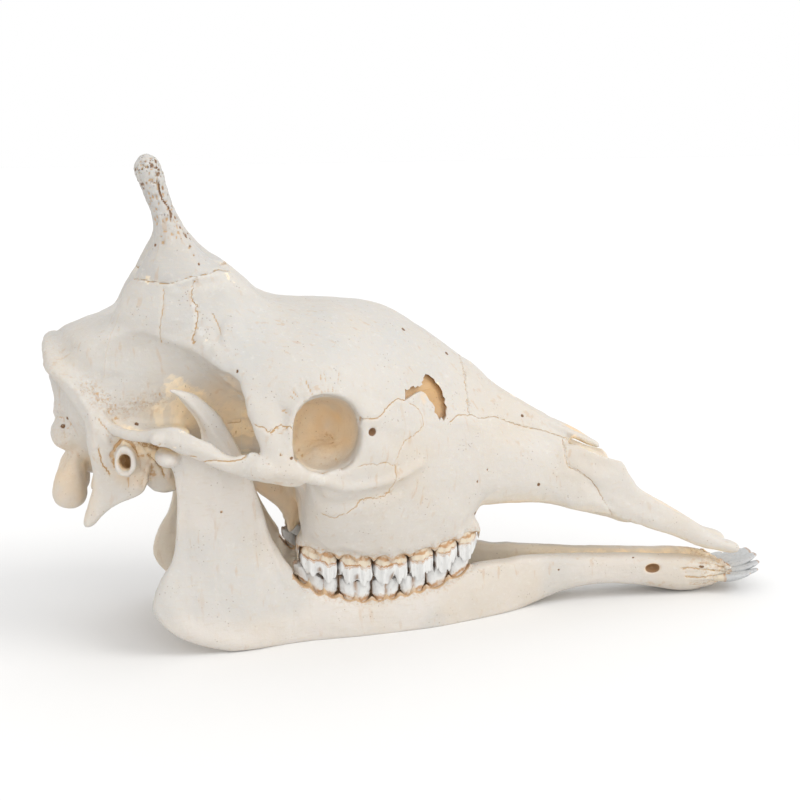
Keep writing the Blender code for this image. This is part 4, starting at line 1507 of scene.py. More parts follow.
UPPER_TEETH = CheekTeeth(
    row=Row.UPPER,
    ends=(-109, -78, -49, -19, 3, 24, 42),
    lobes=(2, 2, 2, 1, 1, 1),
    table=(
        (-110, 51, 13.5, 75, 53), (-92, 51.5, 14.0, 69, 44.5), (-62, 51.5, 14.0, 63, 39),
        (-35, 50.5, 13.5, 61.5, 37.5), (-8, 47.5, 12.5, 64.5, 39), (13, 44, 11.5, 68.5, 43),
        (34, 39.5, 9.5, 74, 51), (43, 37, 7.5, 75.5, 57),
    ),
)
LOWER_TEETH = CheekTeeth(
    row=Row.LOWER,
    ends=(-114, -77, -50, -26, -3, 17, 37),
    lobes=(3, 2, 2, 2, 1, 1),
    table=(
        (-115, 50.5, 6.4, 50, 60), (-95, 51.5, 7.4, 36, 50), (-63, 51.6, 7.9, 26.5, 45), (-38, 49.8, 7.9, 26, 44),
        (-14, 47, 7.5, 29.5, 45), (7, 42.8, 6.9, 32.5, 50), (28, 37.6, 5.6, 40, 58), (38, 34.5, 4.8, 45, 60),
    ),
)


@dataclass(frozen=True)
class FrontTeeth:
    """The flat front teeth of the lower jaw, which lie nearly level and overlap like tiles.

    Attributes:
        places: Each tooth of one half, as root x, y, z, then tip x, y, z, half width of the blade, and how far its
            outer edge is turned up, in degrees.
        shape: A tooth from root to tip, as a share of its length and of its half width, half thickness and rise.
    """

    places: Knots = (
        (262, 6.0, 15, 309, 6.2, 29.5, 7.2, 8), (261, 11.5, 14.5, 308, 15.8, 25.5, 7.6, 14),
        (259, 16.0, 14.5, 304, 23.0, 20.5, 8.0, 20), (256, 19.6, 16.0, 295, 28.2, 18.5, 7.4, 26),
    )
    shape: Knots = (
        (0.0, 0.50, 3.4, 0.0), (0.25, 0.60, 3.6, -1.6), (0.42, 0.72, 3.5, -2.6), (0.55, 0.94, 3.2, -3.0),
        (0.72, 1.10, 2.7, -2.6), (0.88, 1.06, 2.0, -1.2), (0.96, 0.90, 1.4, -0.3), (1.0, 0.62, 0.8, 0.2),
    )

    def build(self, name: str, side: Side) -> Thing:
        """Builds the four teeth of one half.

        Args:
            name: The piece's name.
            side: Its side.

        Returns:
            One object, dressed in enamel's numbers.
        """
        skins, shares = [], []
        for place in self.places:
            root, tip = Vector(place[:3]), Vector(place[3:6])
            turn = math.radians(place[7])
            knots = [(*(root.lerp(tip, s) + Vector((0, 0, rise))), place[6] * wide, thick)
                     for s, wide, thick, rise in self.shape]
            skin = limb(knots, across=(0, math.cos(turn), math.sin(turn)), sides=28, square=2.4)
            skins.append(skin)
            axis = np.array(tip - root)
            shares.append((skin.points - np.array(root)) @ axis / (axis @ axis))
        joined = joined_skins([s.on(side) for s in skins])
        made = mesh_object(name, joined)
        share = np.concatenate(shares)
        lengthwise = joined.points * (0.12, 1, 1)
        ripple = noise(lengthwise, 1.6, 9) * 0.16 + noise(joined.points, 6.0, 2) * 0.15
        write_points(made, joined.points + read_normals(made) * ripple[:, None])
        paint(made, crown=share, root=1 - step(0.36, 0.48, share))
        return made


# The bones.


@dataclass(frozen=True)
class Parting:
    """A cut that parts one or two bones from the rest, along their seams.

    Attributes:
        name: The bone, without its side.
        outline: The corners of the cut, as x and z.
        inner: The lesser Y of the cut on the left side.
        outer: The greater Y of the cut on the left side.
        paired: Whether there is one on each side.
        slot: The record's material slot of the bone.
    """

    name: str
    outline: Knots
    inner: float
    outer: float
    paired: bool = True
    slot: str = "bone"

    def cutter(self, side: Side) -> Thing:
        """The cut's shape on one side."""
        return mesh_object("cutter", slab(self.outline, self.inner * side.value, self.outer * side.value))


HORN_LINE: Knots = (
    (-262, 292), (-246, 293.5), (-231, 292), (-220, 291), (-206, 289.5), (-198, 291.5), (-188, 294.5),
    (-177, 295.5), (-170, 298), (-163, 296.5), (-152, 297), (-136, 298),
)
NASAL_LINE: Knots = (
    (33, 176), (36, 174), (39, 173), (43, 171), (56, 170.5), (70, 165), (84, 160), (103, 154), (126, 145),
    (142, 136), (158, 129), (176, 124),
)
PREMAXILLA_LINE: Knots = (
    (121, 150), (121, 138), (122, 130), (124, 125), (129, 122), (135, 118), (143, 112), (149, 104), (153, 97),
    (157, 90), (164, 82), (174, 76), (191, 68),
)
CORONAL_LINE: Knots = (
    (-187, 330), (-187, 300), (-189, 280), (-187, 272), (-186, 262), (-183, 252), (-179, 243), (-173, 229),
    (-166, 215), (-158, 204), (-152, 196), (-152, 60),
)
ARCH_LINE: Knots = ((-202, 138), (-152, 138), (-152, 196), (-202, 196))

PARTINGS = (
    Parting("horn", (*HORN_LINE, (-110, 420), (-290, 420)), 8, 110, slot="horn_bone"),
    Parting("nasal", (*NASAL_LINE, (176, 250), (33, 250)), 0, 60),
    Parting("premaxilla", (*PREMAXILLA_LINE[::-1], (140, 170), (220, 150), (310, 85), (310, 15), (200, 35)), 0, 70),
    Parting("zygomatic_arch", ARCH_LINE, 92, 130),
    Parting("braincase", (*CORONAL_LINE, (-345, 60), (-345, 330)), -150, 150, paired=False),
)


CRANIUM_SEAMS = (
    Seam([(-231, 58, 292), (-220, 68, 291), (-206, 72, 289.5), (-198, 73, 291.5), (-188, 73, 294.5),
          (-177, 70, 295.5), (-170, 65, 298), (-163, 60, 296.5), (-156, 50, 297), (-158, 40, 297)],
         0.9, 0.9, 0.45, 0.75),
    Seam([(-158, 40, 297), (-172, 34, 297), (-190, 32, 294), (-210, 34, 290), (-228, 44, 292), (-232, 56, 292)],
         0.9, 0.8, 0.5, 0.7),
    Seam([(-187, 73, 292), (-189, 74, 280), (-187, 75, 272), (-186, 75, 263), (-186, 76, 257), (-189, 78, 253),
          (-190, 79, 247), (-187, 81, 244)], 0.9, 0.7, 1.3, 0.75),
    Seam([(-210, 72, 285), (-211, 73, 272), (-213, 73, 262), (-214, 71, 253), (-213, 68, 244)],
         1.1, 0.5, 0.5, 0.42),
    Seam([(-243, 60, 266), (-246, 59, 259), (-250, 61, 251), (-253, 62, 243), (-256, 61, 232), (-257, 61, 223),
          (-258, 61, 215)], 1.2, -0.35, 0.4, 0.16),
    Seam([(-174, 75, 266), (-170, 78, 257), (-168, 82, 250)], 0.6, 0.4, 0.3, 0.45),
    Seam([(-146, 109, 186), (-141, 111, 184), (-139, 111, 182), (-134, 113, 180), (-131, 112, 184),
          (-127, 111, 185), (-123, 113, 184), (-118, 114, 183)], 0.8, 0.6, 1.3, 0.85),
    Seam([(-190, 104, 156), (-180, 108, 160), (-167, 111, 159), (-158, 113, 161), (-154, 112, 164),
          (-152, 109, 169), (-151, 106, 176)], 0.8, 0.8, 0.3, 0.85),
    Seam([(-67, 100, 186), (-61, 101, 186), (-54, 98, 186), (-49, 96, 187), (-46, 93, 190), (-42, 91, 193),
          (-37, 87, 196), (-34, 84, 197), (-28, 81, 195)], 0.9, 0.8, 0.5, 0.8),
    Seam([(-23, 78, 193), (-16, 75, 188), (-13, 74, 183), (-11, 75, 176), (-13, 77, 171), (-18, 80, 168),
          (-24, 83, 165), (-28, 86, 164), (-31, 87, 159), (-36, 88, 150)], 0.7, 0.4, 0.8, 0.4),
    Seam([(-66, 101, 150), (-57, 98, 150), (-51, 96, 149), (-44, 93, 149), (-37, 89, 144)], 0.7, 0.4, 1.0, 0.5),
    Seam([(-36, 88, 146), (-36, 88, 136), (-38, 87, 128), (-42, 87, 121), (-51, 89, 119), (-58, 91, 119),
          (-64, 92, 118), (-68, 91, 113), (-75, 90, 109), (-81, 90, 106), (-85, 89, 105), (-91, 90, 107),
          (-96, 90, 110)], 0.7, 0.45, 1.0, 0.55),
    Seam([(14, 61, 173), (22, 56, 177), (31, 50, 175), (33, 49, 176), (36, 47, 174), (39, 46, 173), (43, 44, 171),
          (56, 36, 170.5), (70, 31, 165), (84, 27, 160), (103, 22, 154), (126, 18, 145)], 0.7, 0.5, 0.6, 0.6),
    Seam([(33, 0, 219), (33, 20, 214), (33, 36, 200), (33, 46, 186), (33, 49, 176)], 0.7, 0.5, 1.6, 0.4),
    Seam([(121, 20, 146), (121, 33, 138), (122, 35, 130), (124, 35, 125), (129, 35, 122), (135, 35, 118),
          (143, 34, 112), (149, 33, 104), (153, 33, 97), (157, 31, 90), (164, 28, 82), (174, 22, 76)],
         0.8, 0.6, 0.4, 0.6),
    Seam([(-292, 0, 249), (-250, 0, 261), (-200, 0, 268), (-150, 0, 268), (-85, 0, 268), (-33, 0, 262), (5, 0, 240),
          (30, 0, 221)], 0.7, 0.4, 1.4, 0.4),
    Seam([(-187, 0, 268), (-186, 20, 273), (-187, 34, 280), (-188, 36, 288)], 0.8, 0.5, 1.6, 0.4),
    Seam([(-216, 103, 172), (-226, 92, 168), (-236, 78, 171), (-250, 66, 176), (-262, 62, 172)],
         0.8, 0.5, 0.8, 0.5),
    Seam([(-263, 69, 162), (-262, 68, 156), (-261, 66, 150), (-258, 65, 145), (-255, 64, 141)], 1.0, 1.0, 0.5, 0.9),
    Seam([(-252, 67, 147), (-254, 69, 156), (-251, 69, 164), (-246, 69, 169), (-240, 70, 169), (-235, 71, 164),
          (-234, 70, 156)], 1.2, 1.2, 0.4, 0.8),
    Seam([(-227, 66, 157), (-221, 60, 150), (-216, 55, 142), (-215, 53, 134)], 0.8, 0.8, 0.5, 0.8),
    Seam([(-236, 70, 170), (-228, 70, 165), (-221, 68, 163), (-214, 62, 160)], 1.0, 1.0, 0.5, 0.8),
    Seam([(-262, 70, 186), (-256, 70, 178), (-248, 68, 174), (-240, 66, 174)], 0.9, 0.5, 0.5, 0.35),
    Seam([(-223, 92, 170), (-214, 93, 166), (-206, 97, 163), (-198, 103, 162), (-190, 106, 163)],
         1.0, 0.9, 0.4, 0.9),
)
CRANIUM_PITS = (
    Pit((-56, 99, 175), 2.9, 3.5),
    Pit((-158, 97, 225), 1.1, 1.8, long=0.7),
    Pit((-234, 60.5, 180), 1.3, 2.6),
    Pit((-292, 38, 176), 1.3, 1.8),
    Pit((-288, 40, 182), 1.0, 1.4),
    Pit((-295, 33, 186), 0.9, 1.2),
    Pit((85, 23, 168), 1.2, 1.6),
    Pit((96, 38, 111), 1.2, 1.4),
    Pit((48, 50, 129), 0.9, 1.0),
    Pit((39, 53, 120), 1.0, 1.0),
    Pit((41, 44, 90), 1.1, 1.4),
    Pit((-120, 113, 160), 1.5, 1.2),
    Pit((-128, 113, 163), 1.1, 1.0),
    Pit((20, 24, 224), 1.3, 1.6),
    Pit((-20, 38, 246), 1.4, 1.6),
)
CRANIUM_SWELLS = (
    Swell([(-150, 108, 152), (-128, 110, 150), (-109, 109, 147), (-96, 108, 140), (-77, 100, 133), (-56, 95, 132),
           (-34, 87, 135), (-14, 79, 143)], 2.4, 4.6),
    Swell([(-128, 106, 138), (-108, 100, 126), (-92, 96, 119), (-77, 95, 117), (-57, 92, 119), (-30, 84, 124)],
          -2.0, 6.5),
    Swell([(-280, 50, 242), (-253, 61, 248), (-229, 67, 254), (-208, 71, 247), (-185, 81, 238), (-166, 93, 224)],
          1.1, 4.0),
    Swell([(-60, 99, 190), (-46, 92, 182), (-34, 86, 176), (-26, 82, 186)], 0.9, 6.0),
    Swell([(-300, 46, 226), (-291, 61, 220), (-279, 66, 210), (-271, 69, 197), (-267, 70, 181), (-266, 69, 165)],
          1.4, 2.6),
    Swell([(-272, 68, 188), (-267, 69, 175), (-263, 69, 164)], -0.8, 2.0),
    Swell([(-267, 70, 192), (-263, 70, 180), (-258, 69, 170), (-253, 68, 163)], 0.9, 2.2),
    Swell([(-226, 96, 176), (-206, 101, 174), (-190, 106, 168), (-176, 110, 163)], 1.0, 3.0),
    Swell([(-230, 67, 160), (-225, 65, 153), (-220, 56, 145), (-219, 53, 136)], 1.3, 2.0),
    Swell([(-225, 65, 161), (-217, 59, 155), (-212, 53, 145), (-211, 52, 135)], 1.3, 2.0),
    Swell([(-234, 68, 146), (-228, 64, 138), (-224, 54, 131)], 1.1, 2.0),
    Swell([(-290, 40, 215), (-286, 42, 190), (-288, 40, 168)], -1.4, 6.0),
)
# The eye socket's rim and the torn window in front of it, as x and z.
ORBIT_RIM: Knots = (
    (-118, 184), (-116, 192), (-112, 199), (-103, 206), (-96, 207.5), (-88, 206), (-80, 201), (-73, 195),
    (-63, 187), (-64, 183), (-67, 179), (-67, 165), (-71, 152), (-80, 146), (-95, 143), (-107, 147), (-117, 156),
    (-118.5, 170),
)
WINDOW_HOLE: Knots = (
    (-25.9, 203.9), (-24.3, 202.6), (-22.2, 202.8), (-20.4, 204.4), (-18.1, 204.9), (-16.5, 203.2), (-14, 204.2),
    (-12.1, 203.2), (-9.2, 204.4), (-10, 206.3), (-8.1, 207.5), (-7.9, 209.4), (-5.5, 211.6), (-2.5, 210.6),
    (-0.1, 208.4), (2.4, 206.7), (3.2, 204.2), (6.2, 201.4), (7.4, 199.6), (9, 196.5), (9.4, 192.8), (11.2, 190.6),
    (10, 187.5), (12, 184.5), (10.8, 181), (11, 177.7), (8.2, 174), (6.4, 177.2), (4.2, 175.3), (2.2, 180),
    (-0.4, 182.2), (0.6, 186), (-1.6, 189.5), (-4, 191.8), (-6.4, 196.5), (-8.2, 198), (-10.5, 199.2), (-15.1, 199),
    (-20.4, 197.2), (-24.3, 195.8), (-26.9, 195), (-26.2, 199),
)

# Where the bone is craggy, on places that are folded onto the left side.
CRANIUM_CRAGS = (
    Tint((-232, 62, 148), (26, 26, 26), 1.0),
    Tint((-292, 40, 178), (14, 20, 24), 0.7),
    Tint((-150, 50, 172), (16, 22, 16), 0.9),
    Tint((-263, 64, 200), (20, 16, 14), 0.5),
    Tint((-5, 64, 193), (16, 18, 18), 0.8),
)
JAW_CRAGS = (Tint((276, 18, 18), (20, 20, 22), 0.9),)
# The spongy dome in the eye socket.
SPONGE = Tint((-86, 58, 138), (39, 31, 31), 1.0)
# The rough edge behind the temple.
TEMPLE_EDGE = Seam([(-270, 62, 211), (-261, 63, 202), (-248, 61, 190), (-235, 61, 195), (-216, 60, 199)],
                   width=7.5, zigzag=0.0)
# The middle of a horn at several heights, as z, x, y and its half width, and the slit in the right one.
HORN_AXIS: Knots = (
    (262, -189, 49, 30), (281, -190.5, 52, 26), (291, -193, 54, 24), (304, -199, 56.5, 20),
    (321, -202.5, 58.5, 13), (341, -208.5, 60, 9.5), (361, -215, 61, 10), (375, -219.5, 62, 10), (388, -222, 62, 6),
)
HORN_SLIT = Seam([(-212, 71, 366), (-211, 70, 358), (-209, 69, 352), (-207, 69, 349), (-204, 69, 344),
                  (-203, 69, 336)], width=0.9, depth=1.4, zigzag=0.3)

# Golden tints on places that are folded onto the left side: painted warm shade in the hollows, holes and under
# edges and at the rear, and golden stains on the spongy and craggy bone.
GOLD_SHADE_AND_STAINS = (
    Tint((-88, 66, 176), (36, 32, 34), 0.6),
    Tint((-86, 58, 138), (40, 33, 33), 0.22),
    Tint((-156, 60, 184), (36, 44, 46), 0.34),
    Tint((-150, 50, 172), (16, 22, 16), 0.45),
    Tint((-6, 48, 193), (21, 29, 22), 0.85),
    Tint((70, 34, 92), (40, 14, 6), 0.4),
    Tint((146, 0, 143), (34, 9, 18), 0.6),
    Tint((-286, 27, 136), (22, 22, 33), 0.36),
    Tint((-274, 50, 122), (18, 20, 28), 0.3),
    Tint((-122, 30, 102), (26, 36, 34), 0.6),
    Tint((-212, 84, 164), (16, 14, 5), 0.6),
    Tint((-234, 62, 146), (22, 22, 20), 0.3),
)


@dataclass
class Pane:
    """The paper-thin bone across the left window in front of the eye socket, with the hole torn in it.

    Attributes:
        whole: The cranium's skin.
        middle: The window's middle, as x and z.
        size: Its half sizes.
        turns: The directions in which its rim is measured.
        layers: The sheet's rings, as shares of the half sizes, and how deep each lies below the outer face.
        bend: The curve of the bone round the window.
        spare: How far the rim lies from that curve.
    """

    whole: Skin
    middle: tuple[float, float] = (-6.5, 193.0)
    size: tuple[float, float] = (24.0, 22.0)
    turns: Array = field(default_factory=lambda: np.arange(40) * math.tau / 40)
    layers: Knots = (
        (0.1, 0), (0.35, 0), (0.6, 0), (0.8, 0), (0.95, 0.1), (1.08, 0.9), (1.08, 2.0), (0.95, 2.5), (0.8, 2.5),
        (0.6, 2.5), (0.35, 2.5), (0.1, 2.5),
    )
    bend: Array = field(init=False)
    spare: Array = field(init=False)

    def __post_init__(self) -> None:
        """Measures the bone round the window."""
        walls = BVHTree.FromPolygons(self.whole.points.tolist(), self.whole.faces.tolist())
        x, z = np.hstack([self.ring(1.0), self.ring(1.2)])
        rim = np.array([walls.ray_cast(Vector((a, 200, b)), Vector((0, -1, 0)))[0].y for a, b in zip(x, z)])
        self.bend = np.linalg.lstsq(self.terms(x, z), rim, rcond=None)[0]
        self.spare = (rim - self.terms(x, z) @ self.bend)[:len(self.turns)]

    def ring(self, share: float) -> tuple[Array, Array]:
        """Places round the middle, as x and z, at a share of the half sizes."""
        return (self.middle[0] + self.size[0] * share * np.cos(self.turns),
                self.middle[1] + self.size[1] * share * np.sin(self.turns))

    def terms(self, x: Array, z: Array) -> Array:
        """The terms of a curved surface in x and z."""
        x, z = x - self.middle[0], z - self.middle[1]
        return np.stack([np.ones(len(x)), x, z, x * x, x * z, z * z], 1)

    def surface(self, x: Array, z: Array) -> Array:
        """The Y of the bone's outer face across the window."""
        across, up = (x - self.middle[0]) / self.size[0], (z - self.middle[1]) / self.size[1]
        spare = np.interp(np.arctan2(up, across), self.turns, self.spare, period=math.tau)
        return self.terms(x, z) @ self.bend + spare * np.minimum(across ** 2 + up ** 2, 1.2)

    def outside(self, places: Array) -> Array:
        """Whether each place, folded onto the left side, is on the outer face, from 0 to 1."""
        x, y, z = places.T
        share = np.hypot((x - self.middle[0]) / self.size[0], (z - self.middle[1]) / self.size[1])
        return (share < 1.4) * (1 - step(0.9, 2.0, self.surface(x, z) - y))

    def sheet(self) -> Skin:
        """A closed sheet that runs on from the bone round the window.

        Returns:
            Its skin, on the left side.
        """
        rings = []
        for share, depth in self.layers:
            x, z = self.ring(share)
            rings.append(np.stack([x, self.surface(x, z) - depth, z], 1))
        return bridged(rings)

    def tear(self) -> Skin:
        """The space of the hole, a little way to both sides of the sheet."""
        space = slab(WINDOW_HOLE, -6, 8)
        space.points[:, 1] += self.surface(space.points[:, 0], space.points[:, 2])
        return space


@dataclass
class Cranium:
    """The skull without its lower jaw: worked whole, then parted along its seams.

    Attributes:
        stock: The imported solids.
        hollows: How enclosed each place is.
        voxel: The size of the skin's faces.
        marks: The seams, holes and ridges.
        names: The solids that it is worked from.
        orbit: The eye socket's middle, as x and z, and its half sizes.
        horn_pores: How many pores a horn has.
        pane: The thin bone in front of the eye socket, from when the blank is made.
    """

    stock: Stock
    hollows: Hollows
    voxel: float = 1.25
    marks: Marks = field(default_factory=lambda: Marks(CRANIUM_SEAMS, CRANIUM_PITS, CRANIUM_SWELLS))
    names: tuple[str, ...] = (
        "braincase", "face", "horn_left", "horn_right", "nasal_left", "nasal_right", "premaxilla_left",
        "premaxilla_right", "zygomatic_arch_left", "zygomatic_arch_right",
    )
    orbit: tuple[float, float, float, float] = (-89.0, 176.0, 27.0, 31.0)
    horn_pores: int = 330
    pane: Pane = field(init=False)

    def blank(self) -> Thing:
        """The whole cranium with clean tooth rims, before its marks.

        Returns:
            One closed object.
        """
        bone = mesh_object("cranium", self.stock.skin(self.names))
        remesh(bone, self.voxel, 2)
        self.open(bone, UPPER_TEETH.socket(31, 76))
        whole = taken_skin(bone)
        self.pane = Pane(whole)
        added = [*UPPER_TEETH.thorns(), self.pane.sheet()]
        bone = mesh_object("cranium", joined_skins([whole, *added, *(a.mirrored() for a in added)]))
        remesh(bone, self.voxel, 1)
        self.open(bone, slab(ORBIT_RIM, 97, 135))
        remesh(bone, self.voxel, 2)
        keep_largest(bone)
        return bone

    def open(self, bone: Thing, space: Skin) -> None:
        """Clears a space on the left side and its mirror image on the right."""
        combine(bone, mesh_object("space", space), Operation.CUT)
        combine(bone, mesh_object("space", space.mirrored()), Operation.CUT)

    def relief(self, bone: Thing) -> None:
        """Moves the skin out and in to give the bone its marks and its grain.

        Args:
            bone: The cranium.
        """
        points, normals = read_points(bone), read_normals(bone)
        height = self.marks.height(points, normals)
        height += noise(points, 16.0, 1) * 0.45 + noise(points, 5.0, 2) * 0.16 + noise(points, 2.4, 3) * 0.07
        height += self.striae(points, normals) + self.horn_relief(points)[0]
        height += self.crust(points) * noise(points, 2.6, 4) * 0.8
        sponge = self.sponge(points)
        height += sponge * (np.abs(noise(points, 6.5, 8)) * 1.6 - 0.5 + noise(points, 2.6, 9) * 0.35)
        height += craggy(points, CRANIUM_CRAGS)
        write_points(bone, points + normals * height[:, None])

    def sponge(self, points: Array) -> Array:
        """Where the bone is spongy, on the dome in the eye socket, from 0 to 1."""
        return SPONGE.at(*folded(points))

    def striae(self, points: Array, normals: Array) -> Array:
        """Fine grooves that fan out from the upper rear rim of the eye socket.

        Args:
            points: Places on the bone.
            normals: The directions in which they face.

        Returns:
            How far each place moves.
        """
        place, facing = folded(points, normals)
        x, z, wide, high = self.orbit
        across, up = (place[:, 0] - x) / wide, (place[:, 2] - z) / high
        ring = np.hypot(across, up)
        angle = np.degrees(np.arctan2(up, across))
        window = step(1.02, 1.10, ring) * (1 - step(1.35, 1.75, ring))
        window *= step(50, 85, angle) * (1 - step(165, 195, angle % 360)) * step(0.2, 0.5, facing[:, 1])
        fan = np.stack([angle * 0.42, ring * 2.0, np.sign(points[:, 1]) * 5], 1)
        return -np.maximum(noise(fan, 1.0, 11), 0) * window * 0.9

    def crust(self, points: Array) -> Array:
        """Where the bone is rough and stained: behind the temple, on the nape and along the teeth.

        Args:
            points: Places on the bone.

        Returns:
            One share a place, from 0 to 1.
        """
        near, share = TEMPLE_EDGE.nearness(*folded(points), np.tile(LEFTWARD, (len(points), 1)))
        rough = np.zeros(len(points))
        rough[near] = share
        rough = np.maximum(rough * 0.8, (1 - step(-289, -280, points[:, 0])) * 0.25 * step(120, 150, points[:, 2]))
        neck = read_row(UPPER_TEETH.table, points[:, 0])[:, 2]
        rim = (1 - step(3, 9, points[:, 2] - neck)) * (points[:, 0] < 44) * (points[:, 0] > -112)
        return np.maximum(rough, rim * (np.abs(points[:, 1]) > 30) * 0.6)

    def horn_relief(self, points: Array) -> tuple[Array, Array, Array]:
        """The pores and long grooves of the horns.

        Args:
            points: Places on the bone.

        Returns:
            How far each place moves, how much dark painted shade each hole gets, and where fine pores lie side by
            side.
        """
        height, hole, fine = (np.zeros(len(points)) for _ in range(3))
        for side in Side:
            mine = np.nonzero((points[:, 2] > 286) & (points[:, 1] * side.value > 0))[0]
            place = points[mine] * (1, side.value, 1)
            x, y, _ = read_row(HORN_AXIS, place[:, 2]).T
            around = np.arctan2(place[:, 1] - y, place[:, 0] - x)
            high = step(298, 345, place[:, 2])
            long = np.stack([around * 9, place[:, 2] * 0.09, np.full(len(place), side.value * 9.0)], 1)
            grooves = np.maximum(noise(long, 1.0, 21), 0) * 0.55 * step(292, 318, place[:, 2])
            knobs = noise(place, 3.4, 22) * 0.55 * step(330, 360, place[:, 2])
            dice = np.random.default_rng(SEED + 5 * side.value + 5)
            dent, dark = np.zeros(len(place)), np.zeros(len(place))
            for _ in range(self.horn_pores):
                z = HORN_AXIS[-1][0] - 92 * dice.uniform() ** 2.1
                turn = dice.uniform(-math.pi, math.pi)
                cx, cy, reach = read_row(HORN_AXIS, z)[0]
                spot = np.array((cx + reach * math.cos(turn), cy + reach * math.sin(turn), z))
                wide = dice.uniform(0.55, 1.15)
                size = np.array((wide, wide, wide * dice.uniform(1.0, 2.6)))
                gap = np.abs(place - spot) / size
                close = np.nonzero((gap[:, 2] < 2.2) & (gap[:, 0] < 3.5) & (gap[:, 1] < 3.5))[0]
                flat = np.linalg.norm(gap[close] * (0.6, 0.6, 1), axis=1)
                dent[close] = np.maximum(dent[close], np.exp(-flat ** 3))
                # The pores get dark painted shade.
                dark[close] = np.maximum(dark[close], 0.92 - flat / 2)
            height[mine] = knobs - grooves * (0.4 + high * 0.6) - dent * 1.3
            hole[mine] = dark
            patchy = step(-0.2, 0.5, noise(place, 9.0, 23) + 0.5 * step(360, 385, place[:, 2]))
            fine[mine] = step(325, 352, place[:, 2]) * patchy
        near, share = HORN_SLIT.nearness(points * (1, -1, 1), np.tile(LEFTWARD, (len(points), 1)))
        height[near] -= share * HORN_SLIT.depth
        # The slit gets dark painted shade too.
        hole[near] = np.maximum(hole[near], share * 0.9)
        return height, hole, fine

    def dress(self, piece: Thing) -> None:
        """Gives a bone the numbers that its finish reads.

        Args:
            piece: The bone.
        """
        points, normals = read_points(piece), read_normals(piece)
        place, facing = folded(points, normals)
        _, hole, fine = self.horn_relief(points)
        self.marks.draw(piece, points, normals, hole)
        closed = self.hollows.at(points, normals)
        inward = step(0.1, 0.6, -facing[:, 1]) * step(6, 14, place[:, 1])
        under = step(0.2, 0.7, -normals[:, 2]) * step(-110, -60, points[:, 0]) * (place[:, 1] < 45)
        # Tan painted warm shade where the bone is enclosed, on faces turned to the middle and on faces turned down
        # under the skull.
        stain = step(0.26, 0.68, closed) * 0.9 + 0.3 * np.maximum(inward * (points[:, 2] < 250), under)
        # Golden painted shade in the hollows, holes, under edges and at the rear, with golden stains on spongy and
        # craggy bone.
        gold = np.zeros(len(points))
        for tint in GOLD_SHADE_AND_STAINS:
            gold = np.maximum(gold, tint.at(place))
        gold *= 1 - self.pane.outside(place)
        grey = step(170, 235, points[:, 2]) * (0.6 + 0.4 * noise(points, 30, 6))
        crust = np.maximum(self.crust(points), self.sponge(points) * 0.25)
        gold *= 0.75 + 0.35 * noise(points, 9.0, 12)
        paint(piece, stain=stain, gold=gold, grey=grey, crust=crust, pores=fine)
        paint_creases(piece, UPPER_TEETH.gum(points))

    def build(self, finishes: dict[str, Material]) -> list[Thing]:
        """Builds, parts and dresses the bones.

        Args:
            finishes: The materials by slot.

        Returns:
            The pieces.
        """
        bone = self.blank()
        LOG.info("cranium worked: %d points", len(bone.data.vertices))
        self.relief(bone)
        self.open(bone, self.pane.tear())
        pieces = []
        for parting in PARTINGS:
            for side in Side if parting.paired else [Side.LEFT]:
                name = f"{parting.name}_{side.word}" if parting.paired else parting.name
                piece = in_scene(f"{name}_bone", bone.data.copy())
                combine(piece, parting.cutter(side), Operation.KEEP)
                combine(bone, parting.cutter(side), Operation.CUT)
                keep_largest(piece)
                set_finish(piece, parting.slot)
                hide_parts(name)
                pieces.append(piece)
        keep_largest(bone)
        bone.name = "face_bone"
        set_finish(bone, "bone")
        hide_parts("face")
        pieces.append(bone)
        for piece in pieces:
            self.dress(piece)
            finish_piece(piece, finishes[piece["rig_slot"]])
        return pieces


# The space of the front teeth, as x and z, the golden painted shade in the chin's hole, and stains on the chin.
CHIN_SPACE: Knots = (
    (262, 34), (270, 30), (277, 25), (279, 17), (277, 9), (274, -8), (335, -8), (335, 60), (262, 60),
)
CHIN_HOLE_SHADE = Tint((206, 20, 26.6), (8, 5, 5), 0.9)
CHIN_SPONGE = Tint((279, 18, 20), (14, 20, 20), 0.6)
MANDIBLE_SEAMS = (
    Seam([(-136, 60, 100), (-124, 60, 72), (-111, 57, 52)], 1.2, 0.5, 0.4, 0.12),
    Seam([(-128, 62, 92), (-116, 60, 62), (-100, 58, 44)], 1.0, 0.35, 0.4, 0.2),
    Seam([(232, 26, 26), (246, 27, 25), (260, 26, 23), (274, 24, 22)], 0.8, 0.8, 0.5, 0.6),
    Seam([(236, 26, 18), (250, 27, 17), (262, 26, 18), (276, 23, 17)], 0.8, 0.8, 0.6, 0.65),
    Seam([(240, 26, 10), (254, 26, 9), (266, 25, 11), (276, 22, 13)], 0.8, 0.8, 0.5, 0.65),
    Seam([(250, 26, 32), (262, 25, 30), (272, 24, 27)], 0.8, 0.7, 0.5, 0.6),
)
MANDIBLE_PITS = (
    Pit((206, 22.3, 26.6), 3.3, 4.0, long=1.9),
    Pit((189, 18, 36), 0.9, 1.1),
    Pit((120, 22, 30), 1.0, 0.9),
    Pit((250, 27, 27), 0.9, 1.2, long=2.6),
    Pit((268, 25, 18), 1.1, 1.5, long=2.0),
    Pit((-172, 80, 112), 1.2, 0.9),
)
